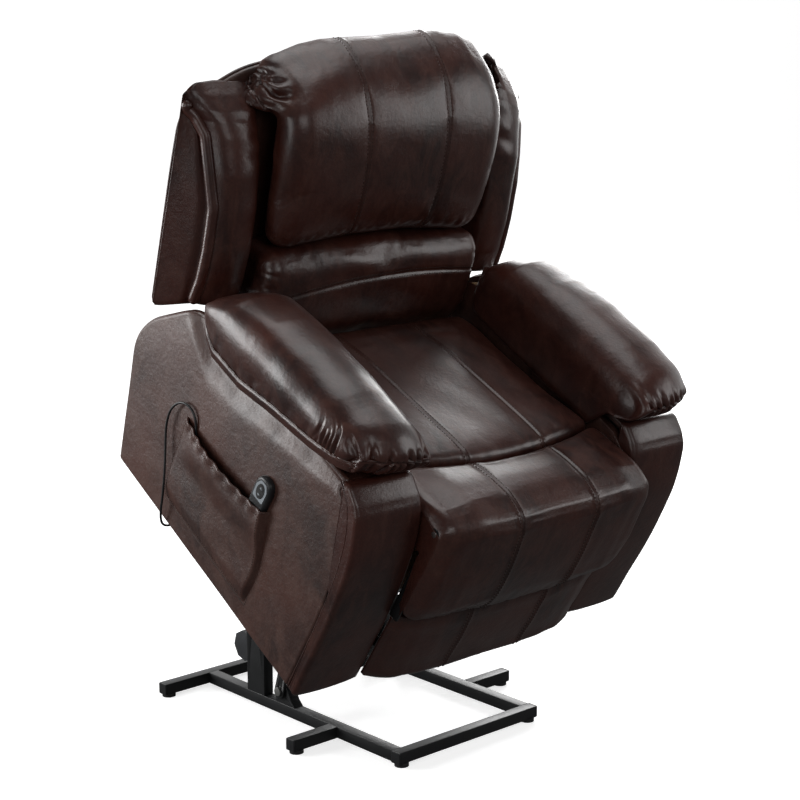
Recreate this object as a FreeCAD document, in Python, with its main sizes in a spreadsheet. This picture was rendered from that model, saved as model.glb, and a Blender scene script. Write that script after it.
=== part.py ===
"""Power lift recliner chair, millimetres, +Z up, the sitter faces -Y.

The origin is on the floor under the middle of the chair's box in its rest pose, which is
the raised and tilted one.  The base stands in the row frame; everything above it is drawn
upright in the seat frame (y back from the front of the arms, z up from their lower edge),
and the backrest is drawn upright in the back frame, so the tilts are only placements.
"Right" is the sitter's right, the -X side.
"""
import FreeCAD, Part
import math
import os

from FreeCAD import Placement, Rotation, Vector

DIMENSIONS = {
    # whole chair
    "base_front": -214.7,
    "lift_angle": 32.9,
    "raised_front_y": 17.0,
    "raised_front_z": 220.0,
    "lowered_front_y": -50.0,
    "lowered_front_z": 45.0,
    "back_lean": 16.7,
    # floor frame
    "tube_size": 25.0,
    "tube_wall": 2.0,
    "foot_height": 12.0,
    "foot_radius": 15.0,
    "front_bar_half": 198.0,
    "rear_bar_half": 316.0,
    "base_depth": 668.5,
    "outrigger_front": 197.0,
    "outrigger_end": 312.5,
    "cap_thickness": 3.0,
    # posts, brackets and links
    "post_front": 443.0,
    "post_depth": 59.0,
    "post_height": 216.0,
    "post_wall": 4.0,
    "front_pivot_y": 383.0,
    "post_pivot_y": 472.0,
    "front_pin_y": 38.0,
    "front_pin_z": 20.5,
    "rear_pin_y": 178.0,
    "rear_pin_z": 60.0,
    "link_thickness": 5.0,
    "link_half_width": 16.0,
    "front_link_x": 199.5,
    "rear_link_x": 206.5,
    "bolt_radius": 6.0,
    "bore_radius": 6.08,
    "torque_tube_radius": 12.0,
    # actuator
    "motor_pivot_y": 640.0,
    "motor_pivot_z": 75.0,
    "rod_pin_y": 140.0,
    "rod_pin_z": 110.0,
    "outer_tube_radius": 19.0,
    "rod_radius": 9.0,
    # moving seat frame
    "carriage_x": 216.0,
    "carriage_plate": 4.0,
    "inner_panel_x": 297.0,
    "board_thickness": 15.0,
    "side_panel_x": 435.0,
    "side_panel_thickness": 25.0,
    "arm_front_width": 163.0,
    "pad_inner_x": 288.0,
    "pad_width": 182.0,
    "flap_inner_x": 280.0,
    "flap_thickness": 16.5,
    "seat_half": 276.0,
    "roll_half": 291.0,
    "spring_count": 5,
    "spring_wire": 4.0,
    # backrest
    "hinge_y": 680.0,
    "hinge_z": 250.0,
    "cover_thickness": 12.0,
    "back_board_half": 283.0,
    "back_board_thickness": 18.0,
    "back_cushion_half": 311.0,
    "lumbar_half": 274.0,
    "wing_inner_x": 317.0,
    "wing_width": 135.0,
    # footrest
    "leg_hinge_y": 0.0,
    "leg_hinge_z": 400.0,
    "leg_pad_half": 289.0,
    "foot_panel_half": 286.0,
    "leg_arm_x": 291.5,
    "leg_arm_thickness": 4.0,
    # pocket, handset and cord
    "pocket_wall": 2.0,
    "handset_depth": 17.0,
    "handset_width": 44.0,
    "button_width": 16.0,
    "button_height": 10.0,
    "button_gap": 0.4,
    "cord_radius": 2.5,
}

doc = FreeCAD.newDocument("lift_recliner")
dims = doc.addObject("Spreadsheet::Sheet", "dims")
for row, (alias, value) in enumerate(DIMENSIONS.items(), 1):
    dims.set(f"A{row}", alias)
    dims.set(f"B{row}", str(value))
    dims.setAlias(f"B{row}", alias)
doc.recompute()

SIDES = ((-1, "right"), (1, "left"))
NODES = []


def dim(alias):
    """The number in the sheet's cell of that name."""
    return float(getattr(dims, alias))


def moved(x=0.0, y=0.0, z=0.0):
    return Placement(Vector(x, y, z), Rotation())


# --------------------------------------------------------------------------- frames
BASE = moved(y=dim("base_front"))
TILT = Rotation(Vector(1, 0, 0), dim("lift_angle"))
SEAT = Placement(Vector(0, dim("base_front") + dim("raised_front_y"), dim("raised_front_z")), TILT)
LOWERED = moved(y=dim("base_front") + dim("lowered_front_y"), z=dim("lowered_front_z"))
BACK_CORNER = Vector(0, 757, 357)
BACK = SEAT * Placement(BACK_CORNER, Rotation(Vector(1, 0, 0), -dim("back_lean")))


def in_base(point):
    """A point of the row frame, counted from the front bar's face."""
    return BASE.inverse().multVec(point)


def base_pivot(pin, pivot_y):
    """The point at depth pivot_y that is as far from the pin raised as it is lowered."""
    raised = in_base(SEAT.multVec(pin))
    lowered = in_base(LOWERED.multVec(pin))
    middle = (raised + lowered) * 0.5
    chord = raised - lowered
    height = middle.z - (pivot_y - middle.y) * chord.y / chord.z
    return Vector(0, pivot_y, height)


FRONT_PIN = Vector(0, dim("front_pin_y"), dim("front_pin_z"))
REAR_PIN = Vector(0, dim("rear_pin_y"), dim("rear_pin_z"))
ROD_PIN = Vector(0, dim("rod_pin_y"), dim("rod_pin_z"))
FRONT_PIVOT = base_pivot(FRONT_PIN, dim("front_pivot_y"))
POST_PIVOT = base_pivot(REAR_PIN, dim("post_pivot_y"))
MOTOR_PIVOT = Vector(0, dim("motor_pivot_y"), dim("motor_pivot_z"))
BACK_HINGE = Vector(0, dim("hinge_y"), dim("hinge_z"))
LEG_HINGE = Vector(0, dim("leg_hinge_y"), dim("leg_hinge_z"))


# --------------------------------------------------------------------------- helpers
def keep(obj, label):
    """Name a finished sub-part, so that it is checked and exported."""
    obj.Label = label
    NODES.append(obj)
    return obj


def bind(obj, **expressions):
    for name, formula in expressions.items():
        obj.setExpression(name, formula)
    return obj


def box(frame, corner, length, width, height):
    """A box whose three sizes are formulas over the sheet."""
    obj = bind(doc.addObject("Part::Box", "box"), Length=length, Width=width, Height=height)
    obj.Placement = frame * moved(*corner)
    return obj


AXIS_TURNS = {
    "x": Rotation(Vector(0, 1, 0), 90),
    "y": Rotation(Vector(1, 0, 0), -90),
    "z": Rotation(),
}


def rod(frame, start, axis, radius, height):
    """A round bar that runs from start along +axis."""
    obj = bind(doc.addObject("Part::Cylinder", "rod"), Radius=radius, Height=height)
    obj.Placement = frame * Placement(Vector(*start), AXIS_TURNS[axis])
    return obj


def cut(base, *tools):
    for tool in tools:
        result = doc.addObject("Part::Cut", "cut")
        result.Base, result.Tool = base, tool
        base = result
    return base


def joined(kind, parts):
    """Part::MultiFuse for one piece, Part::Compound for a set of separate ones."""
    obj = doc.addObject(kind, "set")
    if kind == "Part::Compound":
        obj.Links = parts
    else:
        obj.Shapes = parts
    return obj


def square_tube(frame, corner, length, along, size="dims.tube_size"):
    """A hollow square tube, open at both ends."""
    wall = "dims.tube_wall"
    outer = [length if axis == along else size for axis in "xyz"]
    inner = [length if axis == along else f"{size} - 2 * {wall}" for axis in "xyz"]
    shift = [0 if axis == along else dim("tube_wall") for axis in "xyz"]
    hollow = [c + s for c, s in zip(corner, shift)]
    return cut(box(frame, corner, *outer), box(frame, hollow, *inner))


def rounded(points, radii, closed=True):
    """The lines and tangent arcs of a path whose corner i has radius radii[i]."""
    count = len(points)
    vectors = [Vector(*p) for p in points]
    ends = []
    for i, corner in enumerate(vectors):
        radius = radii[i] if isinstance(radii, (list, tuple)) else radii
        at_end = not closed and i in (0, count - 1)
        if at_end or radius <= 0:
            ends.append((corner, None, corner))
            continue
        back = vectors[i - 1] - corner
        ahead = vectors[(i + 1) % count] - corner
        half = ahead.getAngle(back) / 2
        reach = min(radius / math.tan(half), 0.48 * min(back.Length, ahead.Length))
        radius = reach * math.tan(half)
        back.normalize()
        ahead.normalize()
        middle = (back + ahead).normalize()
        centre = corner + middle * (radius / math.sin(half))
        ends.append((corner + back * reach, centre - middle * radius, corner + ahead * reach))
    pieces = []
    for i, (enter, apex, leave) in enumerate(ends):
        if apex is not None:
            pieces.append(Part.Arc(enter, apex, leave))
        if i < count - 1 or closed:
            following = ends[(i + 1) % count][0]
            if leave.distanceToPoint(following) > 1e-6:
                pieces.append(Part.LineSegment(leave, following))
    return pieces


def sketch_on(body, plane, pieces, offset):
    """A sketch on one of the body's origin planes, lifted off it by a formula."""
    sketch = body.newObject("Sketcher::SketchObject", "profile")
    plane_object = [f for f in body.Origin.OriginFeatures if f.Role == plane][0]
    sketch.AttachmentSupport = (plane_object, "")
    sketch.MapMode = "FlatFace"
    sketch.setExpression("AttachmentOffset.Base.z", offset)
    for piece in pieces:
        if isinstance(piece, Part.Arc):
            piece = Part.ArcOfCircle(piece.value(piece.FirstParameter),
                                     piece.value((piece.FirstParameter + piece.LastParameter) / 2),
                                     piece.value(piece.LastParameter))
        sketch.addGeometry(piece, False)
    return sketch


def pad_onto(body, plane, outline, radii, offset, length, bores=()):
    """Pad an outline, with round bores in it, onto the body."""
    pieces = rounded([(u, v, 0) for u, v in outline], radii)
    for u, v, radius in bores:
        pieces.append(Part.Circle(Vector(u, v, 0), Vector(0, 0, 1), radius))
    sketch = sketch_on(body, plane, pieces, offset)
    pad = body.newObject("PartDesign::Pad", "pad")
    pad.Profile = sketch
    pad.setExpression("Length", length)
    sketch.Visibility = False
    return pad


def slab(frame, outline, inner, width, radii=0.0, bores=(), side=0):
    """A (y, z) outline padded along X: from inner outwards on one side, or right across."""
    body = doc.addObject("PartDesign::Body", "body")
    start = {1: inner, -1: f"-({inner}) - ({width})", 0: inner}[side]
    pad_onto(body, "YZ_Plane", outline, radii, start, width, bores)
    body.Placement = frame
    return body


def across(frame, outline, half, radii=0.0):
    """A (y, z) outline padded right across the chair, half each way."""
    return slab(frame, outline, f"-{half}", f"2 * {half}", radii)


def strap(points, half_width):
    """The outline of a flat bar of even width through the points, with square ends."""
    left, right = [], []
    for i, (u, v) in enumerate(points):
        u0, v0 = points[max(i - 1, 0)]
        u1, v1 = points[min(i + 1, len(points) - 1)]
        run = math.hypot(u1 - u0, v1 - v0)
        du, dv = (u1 - u0) / run, (v1 - v0) / run
        reach = -half_width if i == 0 else half_width if i == len(points) - 1 else 0.0
        left.append((u + du * reach - dv * half_width, v + dv * reach + du * half_width))
        right.append((u + du * reach + dv * half_width, v + dv * reach - du * half_width))
    return left + right[::-1]


# --------------------------------------------------------------------------- floor frame
def floor_tubes():
    low = dim("foot_height")
    size = dim("tube_size")
    half = dim("front_bar_half")
    rear = dim("base_depth") - size
    end = dim("rear_bar_half")
    keep(square_tube(BASE, (-half, 0, low), "2 * dims.front_bar_half", "x"), "front_bar")
    keep(square_tube(BASE, (-end, rear, low), "2 * dims.rear_bar_half", "x"), "rear_bar")
    run = "dims.base_depth - 2 * dims.tube_size"
    reach = "dims.outrigger_end - dims.front_bar_half"
    outriggers = []
    for side, name in SIDES:
        rail_x = half - size if side > 0 else -half
        keep(square_tube(BASE, (rail_x, size, low), run, "y"), f"{name}_side_rail")
        start = half if side > 0 else -dim("outrigger_end")
        outriggers.append(square_tube(BASE, (start, dim("outrigger_front"), low), reach, "x"))
    keep(joined("Part::Compound", outriggers), "outriggers")


def tube_ends():
    """(x, y of the tube's axis) of each open tube end."""
    mid = dim("tube_size") / 2
    rows = ((dim("front_bar_half"), mid),
            (dim("outrigger_end"), dim("outrigger_front") + mid),
            (dim("rear_bar_half"), dim("base_depth") - mid))
    return [(side, x, y) for x, y in rows for side, _ in SIDES]


def end_caps_and_feet():
    low, size, wall = dim("foot_height"), dim("tube_size"), dim("tube_wall")
    cap, plug = dim("cap_thickness"), 9.0
    caps, feet = [], []
    for side, x, y in tube_ends():
        plate_x = x if side > 0 else -x - cap
        plug_x = x - plug if side > 0 else -x
        plate = box(BASE, (plate_x, y - size / 2, low), "dims.cap_thickness",
                    "dims.tube_size", "dims.tube_size")
        insert = box(BASE, (plug_x, y - size / 2 + wall, low + wall), f"{plug}",
                     "dims.tube_size - 2 * dims.tube_wall", "dims.tube_size - 2 * dims.tube_wall")
        caps.append(joined("Part::MultiFuse", [plate, insert]))
        inset = dim("foot_radius")
        feet.append(rod(BASE, (side * (x - inset), y, 0), "z", "dims.foot_radius",
                        "dims.foot_height"))
    keep(joined("Part::Compound", caps), "tube_end_caps")
    keep(joined("Part::Compound", feet), "floor_feet")


def posts():
    """A folded channel on each rail: a web outside, its two flanges turned inwards."""
    top = dim("foot_height") + dim("tube_size")
    front, wall, outer = dim("post_front"), dim("post_wall"), dim("front_bar_half")
    for side, name in SIDES:
        x = outer - dim("tube_size") if side > 0 else -outer
        solid = box(BASE, (x, front, top), "dims.tube_size", "dims.post_depth", "dims.post_height")
        inside_x = x if side > 0 else x + wall
        hollow = box(BASE, (inside_x, front + wall, top), "dims.tube_size - dims.post_wall",
                     "dims.post_depth - 2 * dims.post_wall", "dims.post_height")
        bore = rod(BASE, (x, POST_PIVOT.y, POST_PIVOT.z), "x", "dims.bolt_radius", "dims.tube_size")
        keep(cut(solid, hollow, bore), f"{name}_post")


def front_brackets():
    """The two welded ears that carry the front links' bolts."""
    top = dim("foot_height") + dim("tube_size")
    y, z = FRONT_PIVOT.y, FRONT_PIVOT.z
    outline = [(y - 45, top), (y - 32, top + 12), (y - 14, z + 17), (y + 14, z + 17), (y + 20, top)]
    ears = [slab(BASE, outline, "dims.front_bar_half - dims.tube_size", "dims.tube_size",
                 [0, 8, 12, 12, 0], [(y, z, dim("bolt_radius"))], side) for side, _ in SIDES]
    keep(joined("Part::Compound", ears), "front_brackets")


def pivot_bolt(y, z, shank_from, shank_to, head):
    """A headed bolt on each side, its head outermost."""
    bolts = []
    for side, _ in SIDES:
        start = shank_from if side > 0 else -shank_to
        shank = rod(BASE, (start, y, z), "x", "dims.bolt_radius", f"{shank_to - shank_from}")
        head_x = shank_to if side > 0 else -shank_to - head
        cap = rod(BASE, (head_x, y, z), "x", "1.6 * dims.bolt_radius", f"{head}")
        bolts.append(joined("Part::MultiFuse", [shank, cap]))
    return bolts


def base_bolts():
    inner = dim("front_bar_half") - dim("tube_size")
    front_out = dim("front_link_x") + dim("link_thickness") + 0.5
    rear_out = dim("rear_link_x") + dim("link_thickness") + 0.3
    bolts = pivot_bolt(FRONT_PIVOT.y, FRONT_PIVOT.z, inner, front_out, 5.0)
    bolts += pivot_bolt(POST_PIVOT.y, POST_PIVOT.z, inner, rear_out, 2.5)
    keep(joined("Part::Compound", bolts), "base_pivot_bolts")


# --------------------------------------------------------------------------- lift links
def front_links():
    """Dog-legged bars from the base brackets up and forward to the seat frame."""
    raised = in_base(SEAT.multVec(FRONT_PIN))
    knee = (FRONT_PIVOT.y - 20, FRONT_PIVOT.z + 78)
    route = [(FRONT_PIVOT.y, FRONT_PIVOT.z), knee, (raised.y, raised.z)]
    half = dim("link_half_width")
    ends = half - 0.5
    bore = dim("bore_radius")
    bores = [(route[0][0], route[0][1], bore), (route[2][0], route[2][1], bore)]
    for side, name in SIDES:
        radii = [ends, 20, ends, ends, 50, ends]
        keep(slab(BASE, strap(route, half), "dims.front_link_x", "dims.link_thickness",
                  radii, bores, side), f"{name}_front_link")


def link_cross_tube():
    """The round tube that makes the two front links one arm."""
    reach = dim("front_link_x")
    keep(rod(BASE, (-reach, FRONT_PIVOT.y - 48, FRONT_PIVOT.z + 34), "x",
             "dims.torque_tube_radius", "2 * dims.front_link_x"), "link_cross_tube")


def rear_links():
    """Flat bars from the posts forward to the seat frame, each with a boss at its free end."""
    raised = in_base(SEAT.multVec(REAR_PIN))
    route = [(POST_PIVOT.y, POST_PIVOT.z), (raised.y, raised.z)]
    half = dim("link_half_width")
    outer = dim("rear_link_x") + dim("link_thickness")
    boss = dim("carriage_x") - outer - 1.0
    bars = []
    for side, _ in SIDES:
        bar = slab(BASE, strap(route, half), "dims.rear_link_x", "dims.link_thickness",
                   half - 0.5, [(POST_PIVOT.y, POST_PIVOT.z, dim("bore_radius"))], side)
        start = outer if side > 0 else -outer - boss
        stud = rod(BASE, (start, raised.y, raised.z), "x", "1.8 * dims.bolt_radius", f"{boss}")
        bars.append(joined("Part::MultiFuse", [bar, stud]))
    keep(joined("Part::Compound", bars), "rear_links")


# --------------------------------------------------------------------------- actuator
ROD_END = in_base(SEAT.multVec(ROD_PIN))
ACTUATOR_LENGTH = MOTOR_PIVOT.distanceToPoint(ROD_END)
ACTUATOR_ANGLE = math.degrees(math.atan2(ROD_END.z - MOTOR_PIVOT.z, MOTOR_PIVOT.y - ROD_END.y))
# actuator frame: y runs from the motor's pivot to the rod's, which is forward and up
ACTUATOR = BASE * Placement(MOTOR_PIVOT, Rotation(Vector(1, 0, 0), 180 - ACTUATOR_ANGLE))


def actuator_clevis():
    """Two ears standing on the rear bar."""
    top = dim("foot_height") + dim("tube_size")
    y, z = MOTOR_PIVOT.y, MOTOR_PIVOT.z
    outline = [(y + 3.5, top), (y - 14, z - 12), (y - 14, z + 14), (y + 14, z + 14), (y + 28, top)]
    ears = [slab(BASE, outline, "14", "5", [0, 6, 12, 12, 0], [(y, z, dim("bolt_radius"))], side)
            for side, _ in SIDES]
    pin = rod(BASE, (-22, y, z), "x", "dims.bolt_radius", "44")
    keep(joined("Part::Compound", ears + [pin]), "actuator_clevis")


def actuator():
    eye = rod(ACTUATOR, (-12, 0, 0), "x", "14", "24")
    neck = box(ACTUATOR, (-12, 9, -11), "24", "15", "22")
    bore = rod(ACTUATOR, (-13, 0, 0), "x", "dims.bore_radius", "26")
    case = slab(ACTUATOR, [(22, -30), (86, -30), (98, -16), (98, 24), (84, 34), (22, 34)],
                "-42", "72", [14, 12, 10, 10, 12, 14])
    keep(cut(joined("Part::MultiFuse", [eye, neck, case]), bore), "actuator_gearbox")
    eight = [(60 + 36 * math.cos(math.radians(22.5 + 45 * k)),
              2 + 36 * math.sin(math.radians(22.5 + 45 * k))) for k in range(8)]
    keep(slab(ACTUATOR, eight, "-142", "100", 6.0), "actuator_motor")
    tube = rod(ACTUATOR, (0, 98, 2), "y", "dims.outer_tube_radius", "400")
    hollow = rod(ACTUATOR, (0, 97, 2), "y", "dims.rod_radius + 0.5", "410")
    keep(cut(tube, hollow), "actuator_tube")


def actuator_rod():
    """The sliding rod and its end eye, drawn extended."""
    inside, half_eye, neck_back = 390.0, 11.0, 16.0
    keep(rod(ACTUATOR, (0, inside, 2), "y", "dims.rod_radius",
             f"{ACTUATOR_LENGTH - neck_back - inside}"), "actuator_rod")
    eye = rod(ACTUATOR, (-half_eye, ACTUATOR_LENGTH, 0), "x", "15", f"{2 * half_eye}")
    neck = box(ACTUATOR, (-half_eye, ACTUATOR_LENGTH - neck_back, -9), f"{2 * half_eye}", "12", "20")
    keep(joined("Part::MultiFuse", [eye, neck]), "rod_end_eye")


# --------------------------------------------------------------------------- moving seat frame
# (y, z) of the lower front edge of the stub tubes, the middle tube and the rear tube
STUB, MIDDLE_TUBE, REAR_TUBE = (95.0, 8.0), (127.5, 125.0), (640.0, 120.0)


def carriage():
    size = dim("tube_size")
    low = STUB[1]
    start, end = 20.0, 680.0
    for side, name in SIDES:
        x = dim("carriage_x") if side > 0 else -dim("carriage_x") - size
        keep(square_tube(SEAT, (x, start, low), f"{end - start}", "y"), f"{name}_carriage_rail")
    top = low + size
    front_plate = [(60, top), (300, top), (300, top + 30), (205, 82), (165, MIDDLE_TUBE[1]),
                   (115, MIDDLE_TUBE[1]), (115, 82), (60, 52)]
    rear_plate = [(600, top), (676, top), (676, REAR_TUBE[1]), (632, REAR_TUBE[1])]
    plates = [slab(SEAT, outline, "dims.carriage_x", "dims.carriage_plate", 0.0, (), side)
              for outline in (front_plate, rear_plate) for side, _ in SIDES]
    keep(joined("Part::Compound", plates), "carriage_plates")
    tubes = []
    for side, _ in SIDES:
        x = dim("carriage_x") + size if side > 0 else -dim("inner_panel_x")
        tubes.append(square_tube(SEAT, (x, *STUB),
                                 "dims.inner_panel_x - dims.carriage_x - dims.tube_size", "x"))
    for place, half in ((MIDDLE_TUBE, dim("carriage_x") + size), (REAR_TUBE, dim("inner_panel_x"))):
        tubes.append(square_tube(SEAT, (-half, *place), f"{2 * half}", "x"))
    keep(joined("Part::Compound", tubes), "carriage_cross_tubes")


def rod_lug():
    """Two ears under the middle cross tube, with the actuator's end between them."""
    y, z = ROD_PIN.y, ROD_PIN.z
    top = MIDDLE_TUBE[1]
    outline = [(y - 12, top), (y - 14, z - 6), (y - 7, z - 14), (y + 7, z - 14), (y + 14, z - 6),
               (y + 12, top)]
    parts = []
    for side, _ in SIDES:
        parts.append(slab(SEAT, outline, "13", "5", 0.0, (), side))
        parts.append(rod(SEAT, (18 if side > 0 else -22, y, z), "x", "8", "4"))
    keep(joined("Part::Compound", parts), "rod_lug")


def carriage_pins():
    """The pins that the front links, the backrest and the footrest turn on."""
    pins = []
    plate_in = dim("carriage_x")
    link_in = dim("front_link_x")
    for side, _ in SIDES:
        shank_x = link_in - 1.5 if side > 0 else -plate_in
        shank = rod(SEAT, (shank_x, FRONT_PIN.y, FRONT_PIN.z), "x", "dims.bolt_radius",
                    f"{plate_in - link_in + 1.5}")
        panel = dim("inner_panel_x")
        for hinge, inner in ((BACK_HINGE, 282.0), (LEG_HINGE, dim("roll_half") + 0.2)):
            pin_x = inner if side > 0 else -panel
            pins.append(rod(SEAT, (pin_x, hinge.y, hinge.z), "x", "dims.bolt_radius",
                            f"{panel - inner}"))
        pins.append(shank)
    keep(joined("Part::Compound", pins), "frame_pins")


def seat_rails():
    half = "dims.inner_panel_x"
    front = across(SEAT, [(46, 190), (64, 190), (64, 298), (46, 298)], half)
    rear = across(SEAT, [(604, 232), (624, 232), (624, 298), (604, 298)], half)
    keep(joined("Part::Compound", [front, rear]), "seat_rails")


def seat_springs():
    """Flat zigzag springs from the front rail to the rear one."""
    start, end, turns, swing, wire = 64.0, 604.0, 22, 18.0, dim("spring_wire")
    step = (end - start) / turns
    springs = []
    count = int(dim("spring_count"))
    for k in range(count):
        middle = (k - (count - 1) / 2) * 105.0
        side_a, side_b = [], []
        for i in range(turns + 1):
            x = middle + (0 if i in (0, turns) else swing * (-1) ** i)
            side_a.append((x - wire, start + i * step))
            side_b.append((x + wire, start + i * step))
        body = doc.addObject("PartDesign::Body", "spring")
        pad_onto(body, "XY_Plane", side_a + side_b[::-1], 0.0, "284", "dims.spring_wire")
        body.Placement = SEAT
        springs.append(body)
    keep(joined("Part::Compound", springs), "seat_springs")


# --------------------------------------------------------------------------- arms
ARM_FRONT_OUTER = [(0, 0), (4, 213), (22, 356), (57, 437), (104, 463)]
ARM_FRONT_INNER = [(120, 462), (120, 440), (76, 418), (46, 350), (29, 213), (25, 0)]
ARM_TOP_REAR = [(240, 454), (529, 440), (634, 446), (742, 331), (766, 265), (725, 137), (680, 0)]


def arms():
    """Each arm: two side panels, a padded front, a bent top-and-rear board and a pillow."""
    front = ARM_FRONT_OUTER + ARM_FRONT_INNER
    front_radii = [10, 400, 250, 50, 40, 0, 0, 0, 0, 0, 0]
    side_outline = ARM_FRONT_INNER[::-1] + ARM_TOP_REAR
    side_radii = [0, 0, 0, 0, 0, 0, 300, 500, 45, 60, 45, 300, 10]
    inner_outline = [(32, 20), (38, 213), (54, 345), (84, 410), (122, 428), (620, 428),
                     (712, 330), (730, 265), (700, 150), (661, 20)]
    board_outer = [(120, 450), (529, 436), (626, 441), (732, 329), (755, 264), (716, 138), (671, 0)]
    board_inner = [(657, 0), (702, 140), (740, 264), (720, 322), (620, 427), (529, 422), (120, 436)]
    pad_outline = [(66, 505), (96, 474), (240, 462), (529, 448), (606, 450), (616, 474),
                   (592, 510), (530, 545), (400, 568), (240, 575), (140, 570), (84, 545)]
    flap = [(135, 396), (600, 384), (604, 452), (135, 474)]
    for side, name in SIDES:
        keep(slab(SEAT, front, "dims.inner_panel_x", "dims.arm_front_width", front_radii, (), side),
             f"{name}_arm_front")
        keep(slab(SEAT, side_outline, "dims.side_panel_x", "dims.side_panel_thickness",
                  side_radii, (), side), f"{name}_side_panel")
        keep(slab(SEAT, inner_outline, "dims.inner_panel_x", "dims.board_thickness", 0.0, (), side),
             f"{name}_inner_panel")
        keep(slab(SEAT, board_outer + board_inner, "dims.inner_panel_x + dims.board_thickness",
                  "dims.side_panel_x - dims.inner_panel_x - dims.board_thickness", 0.0, (), side),
             f"{name}_arm_board")
        pillow = slab(SEAT, pad_outline, "dims.pad_inner_x", "dims.pad_width",
                      [20, 12, 0, 0, 8, 12, 30, 60, 300, 300, 60, 30], (), side)
        start = "dims.flap_inner_x" if side > 0 else "-dims.flap_inner_x - dims.flap_thickness"
        pad_onto(pillow, "YZ_Plane", flap, 0.0, start, "dims.flap_thickness")
        keep(pillow, f"{name}_arm_pad")


# --------------------------------------------------------------------------- seat
def seat():
    seat_outline = [(130, 302), (130, 424), (300, 402), (470, 384), (560, 374), (596, 362),
                    (600, 340), (596, 302)]
    keep(across(SEAT, seat_outline, "dims.seat_half", [0, 0, 300, 300, 60, 10, 10, 0]),
         "seat_cushion")
    crest = [(42, 302), (42, 388), (-4, 362), (-38, 372), (-45, 400), (-30, 432), (20, 447),
             (80, 441), (125, 426), (125, 302)]
    keep(across(SEAT, crest, "dims.roll_half", [0, 0, 10, 10, 20, 25, 60, 200, 0, 0]),
         "seat_front_roll")


# --------------------------------------------------------------------------- footrest
def footrest():
    board = [(-13, 10), (2, 10), (2, 342), (-13, 342)]
    keep(across(SEAT, board, "dims.foot_panel_half"), "footrest_board")
    pad = [(-14, 187), (-40, 187), (-60, 215), (-67, 300), (-62, 345), (-46, 348), (-14, 344)]
    keep(across(SEAT, pad, "dims.leg_pad_half", [0, 14, 40, 90, 8, 8, 0]), "leg_rest_pad")
    panel = [(-14, 4), (-34, 4), (-42, 14), (-42, 160), (-34, 177), (-14, 177)]
    keep(across(SEAT, panel, "dims.foot_panel_half", [0, 6, 8, 14, 8, 0]), "foot_panel")
    y, z = LEG_HINGE.y, LEG_HINGE.z
    bore = [(y, z, dim("bore_radius"))]
    arms = [slab(SEAT, strap([(y, z), (-6, 190)], 12.0), "dims.leg_arm_x", "dims.leg_arm_thickness",
                 [11.5, 4, 4, 11.5], bore, side) for side, _ in SIDES]
    tabs = [slab(SEAT, [(-13, 194), (1, 194), (1, 230), (-13, 230)], "dims.foot_panel_half",
                 "dims.leg_arm_x - dims.foot_panel_half", 0.0, (), side) for side, _ in SIDES]
    pairs = [joined("Part::MultiFuse", [arm, tab]) for arm, tab in zip(arms, tabs)]
    keep(joined("Part::Compound", pairs), "footrest_arms")


# --------------------------------------------------------------------------- backrest
def backrest():
    hinge = BACK.inverse().multVec(SEAT.multVec(BACK_HINGE))
    cover_half = [(290, -110), (290, 2), (448, 2), (451, 300), (440, 390), (400, 455), (330, 500),
                  (180, 534)]
    outline = cover_half + [(-x, z) for x, z in cover_half[::-1]]
    radii = [10, 0, 12, 200, 80, 80, 200, 500]
    cover = doc.addObject("PartDesign::Body", "cover")
    pad_onto(cover, "XZ_Plane", outline, radii + radii[::-1], "0", "dims.cover_thickness")
    cover.Placement = BACK
    keep(cover, "rear_back_cover")
    front = dim("cover_thickness") + dim("back_board_thickness")
    board = [(-front, -118), (-12.5, -118), (-12.5, 496), (-front, 496)]
    keep(across(BACK, board, "dims.back_board_half"), "back_board")
    upper = [(-31, 152), (-146, 154), (-166, 205), (-168, 400), (-150, 490), (-108, 540),
             (-60, 560), (-13, 548), (-13, 498), (-31, 498)]
    keep(across(BACK, upper, "dims.back_cushion_half", [0, 20, 60, 300, 80, 60, 60, 10, 0, 0]),
         "upper_back_cushion")
    lumbar = [(-31, -92), (-112, -86), (-148, -20), (-160, 60), (-152, 122), (-132, 148), (-31, 148)]
    keep(across(BACK, lumbar, "dims.lumbar_half", [0, 20, 60, 80, 20, 10, 0]), "lumbar_cushion")
    wing = [(-12.5, 8), (-12.5, 436), (-24, 456), (-92, 372), (-136, 285), (-152, 170), (-153, 78)]
    for side, name in SIDES:
        keep(slab(BACK, wing, "dims.wing_inner_x", "dims.wing_width",
                  [8, 6, 8, 150, 150, 300, 12], (), side), f"{name}_wing")
    y, z = hinge.y, hinge.z
    ear = [(y - 18, z - 18), (y + 18, z - 18), (y + 18, z + 70), (y - 18, z + 70)]
    start = dim("back_board_half")
    plates = [slab(BACK, ear, f"{start}", "dims.leg_arm_thickness", [16, 16, 4, 4],
                   [(y, z, dim("bore_radius"))], side) for side, _ in SIDES]
    keep(joined("Part::Compound", plates), "back_hinge_plates")


# --------------------------------------------------------------------------- pocket and handset
POCKET_FACE = -(dim("side_panel_x") + dim("side_panel_thickness"))
# (y, z, depth off the panel) of the pocket's corners: front bottom, front top, rear top, rear bottom
POCKET = ((207.0, 45.0, 16.0), (240.0, 265.0, 26.0), (546.0, 247.0, 18.0), (529.0, 49.0, 8.0))


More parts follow.
